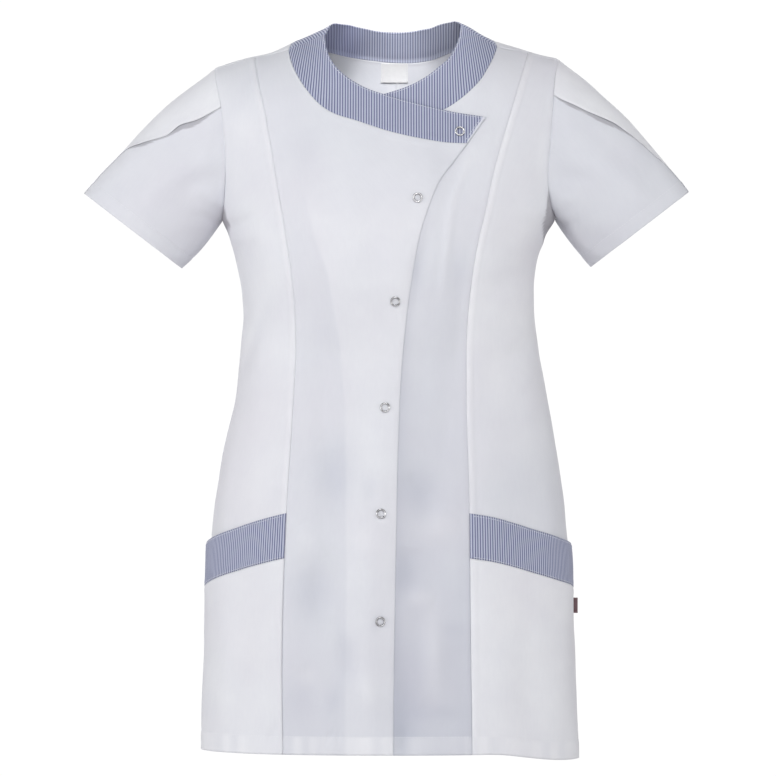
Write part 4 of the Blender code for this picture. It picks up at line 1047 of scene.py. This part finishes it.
def frontSide(side):
    princess = seamLines["princess", side]
    outer, seam = sideEdge(front, side), upright(front, princess)
    shares = seamward(panels["columns"]["side"])
    if side == left:
        shares = np.sort(1 - shares)
    reach = shares if side == right else 1 - shares[::-1]
    low = hemLine(front, outer[0, 0] + (seam[0, 0] - outer[0, 0]) * reach)
    top = shoulderSeam(front, cut["tip"][side], princess[0][0])(reach)
    places, base, normals, folds, gap = panel(front, outer, seam, low, top, shares, armRows, side == left)
    fromSeam = gap[words[-side]]
    pressed = allowance(fromSeam, panels["pressedFront"])
    height = folds + panels["press"] * pressed * blend(fromSeam, 0, panels["pressStart"])
    body = np.interp(base[..., 2], *shadeByHeight[side]) + panels["pressTone"][side] * pressed
    height = whitePanel(f"front_{words[side]}_side", base, normals, panelSeams, gap, height, body, "side",
                        paintedShade=armpitShade(side, base))
    return places, base, normals, height


def frontCentreRight():
    outerLine, princess = seamLines["bandOuter", right], seamLines["princess", right]
    seam, edge = upright(front, princess), upright(front, seamLines["closing"])
    shoulder, neck = panels["topCells"]["over"]
    shares = seamward(panels["columns"]["centreRight"], panels["pull"], keep=[shoulder / (shoulder + neck)])
    top = joined(shares, (shoulder, shoulderSeam(front, princess[0][0], outerLine[0][0])),
                 (neck, bandEdge(outerLine)))
    low = hemLine(front, seam[0, 0] + (edge[0, 0] - seam[0, 0]) * shares)
    _, base, normals, folds, gap = panel(front, seam, edge, low, top, shares, armRows)
    x, z = base[..., 0], base[..., 2]
    height = folds + lapLift(x) + panels["edge"] * (blend(gap["left"], 0.0, panels["edgeWidth"]) - 1)
    for atX, atZ in snapSpots[1:]:
        away = np.hypot(x - atX, z - atZ)
        for way, (depth, width) in ((-1, panels["dimple"]), (1, panels["boss"])):
            height = height + way * depth * hump(away, width)
    faceX, faceZ = seamLines["facing"].T
    faced = blend(x - np.interp(-z, -faceZ, faceX), -panels["facedSoft"], panels["facedSoft"])
    faced = faced * blend(z, faceZ[0] + panels["facedFrom"], faceZ[1])
    whitePanel("front_right_centre", base, normals, {"right": "seam", "top": "shoulder"}, gap, height,
               np.interp(z, *shadeByHeight["over"]) + panels["faced"] * faced, "over")


def frontCentreLeft():
    outerLine, princess = seamLines["bandOuter", left], seamLines["princess", left]
    seam = upright(front, princess)
    hiddenX = cut["hiddenX"]
    edge = upright(front, (outerLine[-1], (hiddenX, cut["hiddenZ"]), (hiddenX, cut["belowHem"])))
    neck, shoulder = panels["topCells"]["under"]
    shares = seamward(panels["columns"]["centreLeft"], panels["pull"], keep=[neck / (neck + shoulder)])
    top = joined(shares, (neck, lambda share: bandEdge(outerLine)(1 - share)),
                 (shoulder, shoulderSeam(front, outerLine[0][0], princess[0][0])))
    low = hemLine(front, edge[0, 0] + (seam[0, 0] - edge[0, 0]) * shares)
    _, base, normals, folds, gap = panel(front, edge, seam, low, top, shares, armRows)
    edgeX, edgeZ = seamLines["closing"].T
    past = base[..., 0] - np.interp(-base[..., 2], -edgeZ, edgeX)
    shade, at, width = panels["lapShade"]
    body = np.interp(base[..., 2], *shadeByHeight["under"])
    body = body - shade * hump(past - at, width) * blend(base[..., 2], *panels["lapFrom"])
    whitePanel("front_left_centre", base, normals, {"left": "seam", "top": "shoulder"}, gap, folds, body,
               "under")


def backBandLow():
    return backBandEdge("lowBack", "bandOuter")


def backPanel(side):
    outer, lows = sideEdge(back, side), backBandLow()
    neck = lows[0] if side == right else (lambda share: lows[1](1 - share))
    topZ = float(formAt(back, *neck(np.array([0.0, 1.0]))[-1])[2])
    seam = upright(back, ((cut["centreBack"][0], topZ), (cut["centreBack"][1], cut["belowHem"])))
    corner, princessX = seamLines["bandOuter", side][0][0], seamLines["princess", side][0][0]
    cells = panels["topCells"]["back"]
    keep = np.cumsum(cells[:2]) / sum(cells)
    shares = seamward(panels["columns"]["back"], panels["pull"], keep=keep if side == right else 1 - keep)
    reach = shares if side == right else 1 - shares[::-1]
    top = joined(reach, (cells[0], shoulderSeam(back, cut["tip"][side], princessX)),
                 (cells[1], shoulderSeam(back, princessX, corner)), (cells[2], neck))
    low = hemLine(back, outer[0, 0] + (seam[0, 0] - outer[0, 0]) * reach)
    _, base, normals, folds, gap = panel(back, outer, seam, low, top, shares, armRows, side == left)
    fromSeam = gap[words[-side]]
    pressed = allowance(fromSeam, panels["pressedBack"])
    height = folds + panels["backPress"] * pressed * blend(fromSeam, 0, panels["pressStart"])
    body = np.interp(base[..., 2], *shadeByHeight["back"]) + panels["backPressTone"] * pressed
    whitePanel(f"back_{words[side]}", base, normals, panelSeams, gap, height, body, "back",
               panels["backShift"], armpitShade(side, base) * hump(gap[words[side]], panels["sideShade"]))


# Striped neck band

band = {
    "cells": {right: 150, left: 120}, "pull": 0.3, "halfBack": 80, "across": 26, "acrossPull": 0.5,
    "wall": 0.0010, "roll": 0.0005, "dimple": (0.0005, 0.0085), "stitch": 0.0017,
    "endStitch": (0.0042, 0.003), "endBare": (0.0010, 0.0026, 0.0003), "allowance": (0.40, 0.0055),
    # bare is painted light and deep painted shade on the inside of the back band, deep growing across
    # paintedShadeAcross
    "inside": 0.004, "paleFacingAndLight": 0.10, "paintedShade": 0.20, "paintedShadeAcross": (-0.016, -0.048),
}
grain = {"from": 0.050, "to": 0.105, "lean": 9, "height": -0.020,  # the front bands lean towards the shoulder
         "over": {right: 0.17, left: 0.19}}  # and the back one's grain turns as it comes over the ridge


def frontGrain(side, x, rise):
    lean = np.tan(np.radians(grain["lean"]) * blend(side * x, grain["from"], grain["to"]))
    return x + side * lean * (rise - grain["height"])


def backGrain(x, rise):
    over = np.maximum(rise - crestAt(back, x), 0)
    return x + np.where(x < 0, -grain["over"][right], grain["over"][left]) * over


def bandEnd(face, side):
    edge = shoulderSeam(face, seamLines["bandOuter", side][0][0], seamLines["bandInner", side][0][0])
    return edge(seamward(band["across"], band["acrossPull"]))


def bandHeight(gap, folds, seams):
    return folds + sewnShape(gap, *seams) - band["roll"] * hump(gap["top"], sewing["rollWidth"])


def frontBand(side):
    shares, seam = seamward(band["cells"][side], band["pull"]), bandEnd(front, side)
    low, top = (bandEdge(seamLines[name, side])(shares) for name in ("bandOuter", "bandInner"))
    end = low[-1] + (top[-1] - low[-1]) * seamward(band["across"], band["acrossPull"])[:, None]
    if side == left:
        shares = 1 - shares[::-1]
    places, base, normals, folds, gap = panel(front, seam, end, low, top, shares, None, side == left)
    seams = {"low": "seam", words[side]: "shoulder"}
    height = bandHeight(gap, folds, seams)
    stitches, paleFacingAndLight = [("top", band["stitch"], sewing["trim"])], 0.0
    if side == right:  # its end is turned in, so that the facing shows as a bare strip
        away = np.hypot(base[..., 0] - snapSpots[0][0], base[..., 2] - snapSpots[0][1])
        height = height + lapLift(base[..., 0]) - band["dimple"][0] * hump(away, band["dimple"][1])
        stitches.append(("left", *band["endStitch"]))
        width, more, soft = band["endBare"]
        width = width + more * np.linspace(0, 1, base.shape[0])[:, None]
        paleFacingAndLight = blend(gap["left"], width + soft, width - soft)
    clothPiece(f"neck_band_{words[side]}", "striped_cloth", base, normals, seams, gap, height, 0.0, stitches,
               frontGrain(side, base[..., 0], places[..., 1]), band["wall"], paleFacingAndLight=paleFacingAndLight)


def backBand():
    lows, tops = backBandLow(), backBandEdge("topBack", "bandInner")
    half = seamward(band["halfBack"], 0.0)
    shares = np.concatenate([half / 2, 0.5 + half[1:] / 2])
    low, top = (joined(shares, (1, edges[0]), (1, edges[1])) for edges in (lows, tops))
    ends = bandEnd(back, right), bandEnd(back, left)
    places, base, normals, folds, gap = panel(back, *ends, low, top, shares)
    seams = {"right": "shoulder", "left": "shoulder", "low": "seam"}
    # painted light and painted shade on the band's inside
    inside = blend(places[..., 1] - crestAt(back, base[..., 0]), band["inside"], 0)
    clothPiece("neck_band_back", "striped_cloth", base, normals, seams, gap, bandHeight(gap, folds, seams),
               band["allowance"][0] * allowance(gap["low"], band["allowance"][1]),
               [("top", band["stitch"], sewing["trim"])], backGrain(base[..., 0], places[..., 1]),
               band["wall"], band["paintedShade"] * inside * blend(base[..., 0], *band["paintedShadeAcross"]),
               band["paleFacingAndLight"] * inside)


# Sleeves

sleeveShape = {
    right: {"top": (-0.3175, -0.1352), "low": (-0.216, -0.213), "swell": (0.0073, 0.0020),
            "freeEdge": ((0.00, 3.38), (0.075, 3.24), (0.138, 3.12), (0.203, 2.95), (0.255, 2.75),
                         (0.290, 2.60), (0.320, 2.50), (0.370, 2.47), (0.415, 2.43), (0.463, 2.24),
                         (0.508, 1.99), (0.545, 1.76), (0.583, 1.50), (0.630, 1.05), (0.682, 0.62),
                         (0.740, 0.42), (0.797, 0.32), (0.853, 0.26), (0.92, 0.22), (1.00, 0.20)),
            "stand": ((0.0, 0.1), (0.08, 0.6), (0.18, 1.7), (0.27, 2.7), (0.34, 2.0), (0.42, 0.5),
                      (0.48, 0.6), (0.56, 1.9), (0.63, 1.2), (0.72, 0.3), (0.85, 0.1), (1.0, 0.0))},
    left: {"top": (0.3100, -0.1338), "low": (0.209, -0.211), "swell": (0.0095, 0.0020),
           "freeEdge": ((0.00, 2.92), (0.055, 2.87), (0.133, 2.70), (0.212, 2.49), (0.285, 2.28),
                        (0.355, 2.05), (0.398, 1.89), (0.445, 1.71), (0.485, 1.61), (0.522, 1.54),
                        (0.560, 1.44), (0.603, 1.32), (0.670, 1.07), (0.730, 0.92), (0.80, 0.62),
                        (0.90, 0.30), (1.00, 0.15)),
           "stand": ((0.0, 0.1), (0.07, 0.8), (0.16, 1.4), (0.24, 1.1), (0.33, 2.0), (0.40, 2.7), (0.47, 1.7),
                     (0.55, 0.6), (0.68, 0.3), (0.85, 0.1), (1.0, 0.0))},
    "depth": 0.082, "swellShift": 0.85, "hidden": -2.2, "taper": 1.0, "dip": 0.0009, "steps": 18,
    "rows": 76, "lap": 34, "crowding": 0.35, "frontLeaf": 52, "topLeaf": 58, "cuffHem": 0.0150,
    "cuffThick": 0.0003, "cuffGroove": 0.0002, "sewn": (0.5, 0.8), "startFade": 0.03, "normalFade": 0.06,
    "normalStep": (0.3, 0.02), "pull": 0.5, "topPull": 0.4, "dipEnd": 0.90,
}  # freeEdge is how far along the sleeve and the step round it, stand how far along and mm off
# painted light and shade on the sleeves: each leaf lighter or darker as the light falls on it, the lap and
# the hem lighter as doubled cloth as well; shadow is painted shade under the free edge and rim painted light
# along the outline
sleeveTone = {
    right: {"front": 0.62, "top": 0.92, "lap": 1.12}, left: {"front": 0.56, "top": 1.06, "lap": 1.25},
    "hem": 0.05, "shadow": 0.50, "shadowWidth": (0.0004, 1.9), "shadowSoft": (0.0006, 0.0004),
    "standing": 0.45, "until": (0.60, 0.68), "rimLight": (0.40, 0.010),
}


class Sleeve:
    def __init__(self, side):
        self.side, self.fine = side, 2 * armRows // sleeveShape["steps"]
        ring, normals = [], []
        for face, order in ((front, slice(None, None, -1)), (back, slice(1, -1))):
            points, directions, folds = formCloth(face, armhole(face, side))
            ring.append((points + directions * folds[..., None])[order])
            normals.append(directions[order])
        self.ring, normals = np.concatenate(ring), np.concatenate(normals)
        tangents = np.roll(self.ring, -1, axis=0) - np.roll(self.ring, 1, axis=0)
        self.away = unit(np.cross(tangents, normals) * -side)
        top, low = (np.array([x, 0, z]) for x, z in (sleeveShape[side]["top"], sleeveShape[side]["low"]))
        self.cuffMiddle, self.cuffUp = (top + low) / 2, (top - low) / 2
        self.swellTop, self.swellLow = sleeveShape[side]["swell"]
        self.ringMiddle = self.ring[::self.fine].mean(axis=0)

    def atRing(self, values, step):
        step = step * self.fine
        base = np.floor(step).astype(int)
        share = (step - base)[..., None]
        return values[base % len(values)] * (1 - share) + values[(base + 1) % len(values)] * share

    def point(self, step, along):
        angle = (2 * math.pi * step / sleeveShape["steps"])[..., None]
        forward = np.array([0, -sleeveShape["depth"] / 2, 0])
        end = self.cuffMiddle + self.cuffUp * np.cos(angle) + forward * np.sin(angle)
        s = along[..., None]
        point = (1 - s) * self.atRing(self.ring, step) + s * end
        out = unit(point - ((1 - s) * self.ringMiddle + s * self.cuffMiddle))
        swell = self.swellLow + (self.swellTop - self.swellLow) * (1 + np.cos(angle)) / 2
        return point + out * swell * np.sin(math.pi * s ** sleeveShape["swellShift"])

    def normal(self, step, along):
        turn, slip = sleeveShape["normalStep"]
        roundIt = self.point(step + turn, along) - self.point(step - turn, along)
        downIt = self.point(step, np.clip(along + slip, 0, 1)) - self.point(step, np.clip(along - slip, 0, 1))
        normal, away = unit(np.cross(roundIt, downIt) * self.side), self.atRing(self.away, step)
        lean = np.clip(np.sum(normal * away, axis=-1, keepdims=True), 0, 1)
        return unit(normal - lean * away * blend(along, sleeveShape["normalFade"], 0.0)[..., None])


def curveTable(table, at):
    xs, ys = np.array(table).T
    slopes = np.gradient(ys, xs)
    at = np.clip(at, xs[0], xs[-1])
    i = np.clip(np.searchsorted(xs, at) - 1, 0, len(xs) - 2)
    span = xs[i + 1] - xs[i]
    return hermite((at - xs[i]) / span, span, ys[i], ys[i + 1], slopes[i], slopes[i + 1])


def layLeaf(shape, name, steps, rows, height, underarm, tone, thick=wall, shadow=None):
    along = rows * np.ones_like(steps)
    normals = shape.normal(steps, along)
    start = shape.atRing(shape.away, steps) * gaps["armhole"]
    base = shape.point(steps, along) + start * blend(along, sleeveShape["startFade"], 0.0)[..., None]
    gap = distances(base)  # low is the armhole here and top the cuff
    for seam, share in zip(("low", underarm), sleeveShape["sewn"]):
        height = height + sewnShape(gap, seam) * share
    cuff = allowance(gap["top"], sleeveShape["cuffHem"])
    groove = hump(gap["top"] - sleeveShape["cuffHem"], sewing["grooveWidth"])
    height = height + sleeveShape["cuffThick"] * cuff - sleeveShape["cuffGroove"] * groove
    paintedShade = 0.0
    if shadow:  # what the leaf above shades: the column of its edge and how wide the shade is down the rows
        column, width = shadow
        more, less = sleeveTone["shadowSoft"]
        past = gap["right"] - gap["right"][:, column:column + 1]
        low = blend(along, *sleeveTone["until"]) * (shape.side == right)  # here the edge is on the outline
        paintedShade = sleeveTone["shadow"] * blend(past, width + more, width - less) * (1 - low)
        # painted light along the outline, where the free edge lies on it
        tone = tone + sleeveTone["rimLight"][0] * low * hump(past, sleeveTone["rimLight"][1])
    clothPiece(name, "white_cloth", base, normals, {underarm: "underarm"}, gap, height,
               tone + sleeveTone["hem"] * cuff, (("top", sleeveShape["cuffHem"], sewing["trim"]),),
               thick=thick, paintedShade=paintedShade)


def sleeve(side):
    shape, own, hidden, taper = Sleeve(side), sleeveShape[side], sleeveShape["hidden"], sleeveShape["taper"]
    tone, (least, growth) = sleeveTone[side], sleeveTone["shadowWidth"]
    for halfWidth, depth, *line in sleeveCreases[side]:
        step, along = curveThrough(np.array(line), 10).T
        creaseLines.append((halfWidth / 1000, depth / 1000, shape.point(step, along)))
    rows = seamward(sleeveShape["rows"], sleeveShape["pull"])[:, None]
    edge = curveTable(own["freeEdge"], rows)
    stand = np.maximum(curveTable(own["stand"], rows) / 1000, 0)
    lapShare = crowded(np.linspace(0, 1, sleeveShape["lap"] + 1), sleeveShape["crowding"])[None]
    lap = hidden + (edge - hidden) * lapShare
    half, lift = sleeveShape["steps"] / 2, thinWall + gaps["leaf"]
    below = edge + (half - edge) * seamward(sleeveShape["frontLeaf"], sleeveShape["pull"])[None, 1:]
    dipped = sleeveShape["dip"] * (1 - blend(lapShare, sleeveShape["dipEnd"], 1.0) * np.ones_like(rows))
    behind = half + (half + hidden) * seamward(sleeveShape["topLeaf"], sleeveShape["topPull"])[None, :-1]
    behind = behind * np.ones_like(rows)
    start = 2 * half + hidden - taper
    layLeaf(shape, f"sleeve_front_{words[side]}", np.concatenate([lap, below], axis=1), rows,
            np.concatenate([-dipped, np.zeros(below.shape)], axis=1), "left", tone["front"],
            shadow=(sleeveShape["lap"], least + growth * stand))
    steps = np.concatenate([behind, 2 * half + lap], axis=1)
    over = lift - dipped + sleeveTone["standing"] * stand * lapShare ** 4
    rising = (lift - sleeveShape["dip"]) * blend(behind, start, start + taper)
    layLeaf(shape, f"sleeve_top_{words[side]}", steps, rows, np.concatenate([rising, over], axis=1), "right",
            tone["top"] + (tone["lap"] - tone["top"]) * blend(steps, start, start + taper), thinWall)


# Pockets

pocketShape = {
    "stand": {right: 0.0050, left: 0.0030}, "turn": 78, "width": 15, "reach": 0.070, "sag": 0.0008,
    "sagAt": (55, 0.14), "sagSize": (18, 0.05), "loose": (0.0005, 0.0120), "least": 0.0001, "over": 0.0002,
    "roll": 0.0004, "tone": {right: 0.97, left: 1.08}, "hemTone": 0.08, "stitch": (0.0016, 0.0022),
}


def pocket(side, places, base, normals, panelHeight):
    (sagTurn, sagBelow), (sagWide, sagTall) = pocketShape["sagAt"], pocketShape["sagSize"]
    turn = np.degrees(np.abs(places[..., 0]))
    below = places[mouthRow, :, 1][None] - places[..., 1]
    stand = hump(turn - pocketShape["turn"], pocketShape["width"]) * hump(below, pocketShape["reach"])
    stand = pocketShape["stand"][side] * stand
    fall = pocketShape["sag"] * hump(turn - sagTurn, sagWide) * hump(below - sagBelow, sagTall)
    reach = distances(base)
    loose = blend(np.minimum(reach["right"], reach["left"]), *pocketShape["loose"])
    least = thinWall + pocketShape["least"]  # it is caught flat in the seams at its sides
    height = panelHeight + least + (frameWall + gaps["laid"] - least) * loose + stand + fall
    height = height + pocketShape["over"]
    part = slice(0, pocketRow + 1)
    gap = distances(base[part])
    tone = pocketShape["tone"][side] + hemTone(gap["low"], base[part][..., 0], pocketShape["hemTone"])
    clothPiece(f"pocket_{words[side]}", "white_cloth", base[part], normals[part],
               {"right": "seam", "left": "seam", "top": "seam"}, gap, height[part] + sewnShape(gap, "top"),
               tone, hemStitch, thick=thinWall)
    part = slice(pocketRow, mouthRow + 1)
    gap = distances(base[part])
    shape = height[part] + sewnShape(gap, "low") - pocketShape["roll"] * hump(gap["top"], sewing["rollWidth"])
    clothPiece(f"pocket_band_{words[side]}", "striped_cloth", base[part], normals[part],
               {"right": "seam", "left": "seam", "low": "seam"}, gap, shape, 0.0,
               [(edge, depth, sewing["trim"]) for edge, depth in zip(("low", "top"), pocketShape["stitch"])],
               gap["right"].mean(axis=0)[None] * np.ones((shape.shape[0], 1)), thinWall)


# Snaps, label and tab

snapShape = {
    "profile": ((0.00345, -0.0004), (0.00350, 0.0004), (0.00372, 0.00085), (0.00415, 0.00112),
                (0.00460, 0.00108), (0.00500, 0.00080), (0.00522, 0.00030), (0.00520, -0.0004)),
    "around": 72, "seat": 0.0003, "lean": 0.004, "prongs": 10, "prongAt": (0.0033, 0.0002), "prongAround": 8,
    "prong": ((0.00001, 0.00028), (0.00022, 0.00022), (0.00034, 0.0000)),
}


def spinProfile(profile, around, axes, origin):
    side, ahead, up = axes
    verts = [origin + (side * math.cos(a) + ahead * math.sin(a)) * r + up * h
             for a in np.linspace(0, 2 * math.pi, around, endpoint=False) for r, h in np.array(profile)]
    count = len(profile)
    faces = [(i * count + k, (i + 1) % around * count + k, (i + 1) % around * count + (k + 1) % count,
              i * count + (k + 1) % count) for i in range(around) for k in range(count)]
    return verts, faces


def onUpperFront(x, z):
    point, normal, folds = formCloth(front, placeAt(front, [(x, z)]))
    height = folds + lapLift(point[:, 0]) + creaseHeight(point) + rippleHeight(point)
    return (point + normal * height[:, None])[0]


def snap(number, x, z):
    step, (reach, rise) = snapShape["lean"], snapShape["prongAt"]
    up = unit(np.cross(onUpperFront(x + step, z) - onUpperFront(x - step, z),
                       onUpperFront(x, z + step) - onUpperFront(x, z - step)))
    origin = onUpperFront(x, z) + up * snapShape["seat"]
    side = unit(np.cross(up, (0, 0, 1.0)))
    ahead = np.cross(up, side)
    verts, faces = spinProfile(snapShape["profile"], snapShape["around"], (side, ahead, up), origin)
    for k in range(snapShape["prongs"]):  # the ends of the prongs that show just inside the ring
        a = 2 * math.pi * (k + 0.5) / snapShape["prongs"]
        at = origin + (side * math.cos(a) + ahead * math.sin(a)) * reach + up * rise
        small, quads = spinProfile(snapShape["prong"], snapShape["prongAround"], (side, ahead, up), at)
        faces += [tuple(i + len(verts) for i in quad) for quad in quads]
        verts += small
    piece = addMesh(f"snap_{number}_ring", verts, faces, "snap_metal")
    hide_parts(f"snap_{number}")


labelShape = {"x": (-0.0095, 0.0190), "z": (-0.0135, 0.0070), "inside": 0.0020, "cells": (40, 30),
              "wall": 0.0004, "stitch": 0.0011, "curl": 0.0006, "curlReach": 0.006, "curlAcross": (0.4, 0.03)}


def label():
    (columns, rows), (start, growth) = labelShape["cells"], labelShape["curlAcross"]
    x, z = np.meshgrid(np.linspace(*labelShape["x"], columns + 1), np.linspace(*labelShape["z"], rows + 1))
    places = placeAt(back, np.stack([x.ravel(), z.ravel()], axis=-1)).reshape(*x.shape, 2)
    base, normals, folds = formCloth(back, places)
    gap = distances(base)
    curl = labelShape["curl"] * hump(gap["low"], labelShape["curlReach"]) * (start + gap["right"] / growth)
    grid = base + normals * (folds - labelShape["inside"] - curl)[..., None]
    piece = addSheet("neck_label_tape", "neck_label", "label_cloth", grid, gap, False, labelShape["wall"], 0)
    thread = sewThread("neck_label", grid - normals * labelShape["wall"] / 2, -normals, gap,
                       [(edge, labelShape["stitch"], 0.0) for edge in ("right", "left", "top")])


tabShape = {"size": (0.0062, 0.0010, 0.0160), "middle": (0.1922, 0.0009, -0.5630), "rows": 30, "flat": 10,
            "turn": 9, "pinch": 0.25, "pinchReach": 0.0006, "wave": (0.00012, 700)}


def tab():
    size, (waveDepth, waveTurn) = np.array(tabShape["size"]), tabShape["wave"]
    radius, half = size[1] / 2, size[0] / 2
    outline = [(half - radius + radius * math.cos(a), radius * math.sin(a))
               for a in np.linspace(-math.pi / 2, math.pi / 2, tabShape["turn"])]
    outline += [(x, radius) for x in np.linspace(half - radius, -half, tabShape["flat"])[1:]]
    outline += [(x, -radius) for x in np.linspace(-half, half - radius, tabShape["flat"])[:-1]]
    verts = []
    for z in np.linspace(-size[2] / 2, size[2] / 2, tabShape["rows"] + 1):
        pinch = 1 - tabShape["pinch"] * hump(abs(z) - size[2] / 2, tabShape["pinchReach"])
        wave = waveDepth * math.sin(z * waveTurn)
        verts += [np.array(tabShape["middle"]) + (x, y * pinch + wave, z) for x, y in outline]
    piece = addMesh("side_tab_tape", verts, tubeFaces(tabShape["rows"] + 1, len(outline)), "tab_cloth")
    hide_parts("side_tab")


# Making it all

for face in (front, back):
    for halfWidth, depth, *line in creases[face]:
        places = placeAt(face, curveThrough(metres(line), 8))
        creaseLines.append((halfWidth / 1000, depth / 1000, formAt(face, places[:, 0], places[:, 1])))
frontCentreRight()
frontCentreLeft()
for side in (right, left):
    pocket(side, *frontSide(side))
    backPanel(side)
print("panels and pockets made")
for side in (right, left):
    sleeve(side)
print("sleeves made")
for side in (right, left):
    frontBand(side)
backBand()
for number, spot in enumerate(snapSpots, 1):
    snap(number, *spot)
label()
tab()
print("band, snaps, label and tab made")
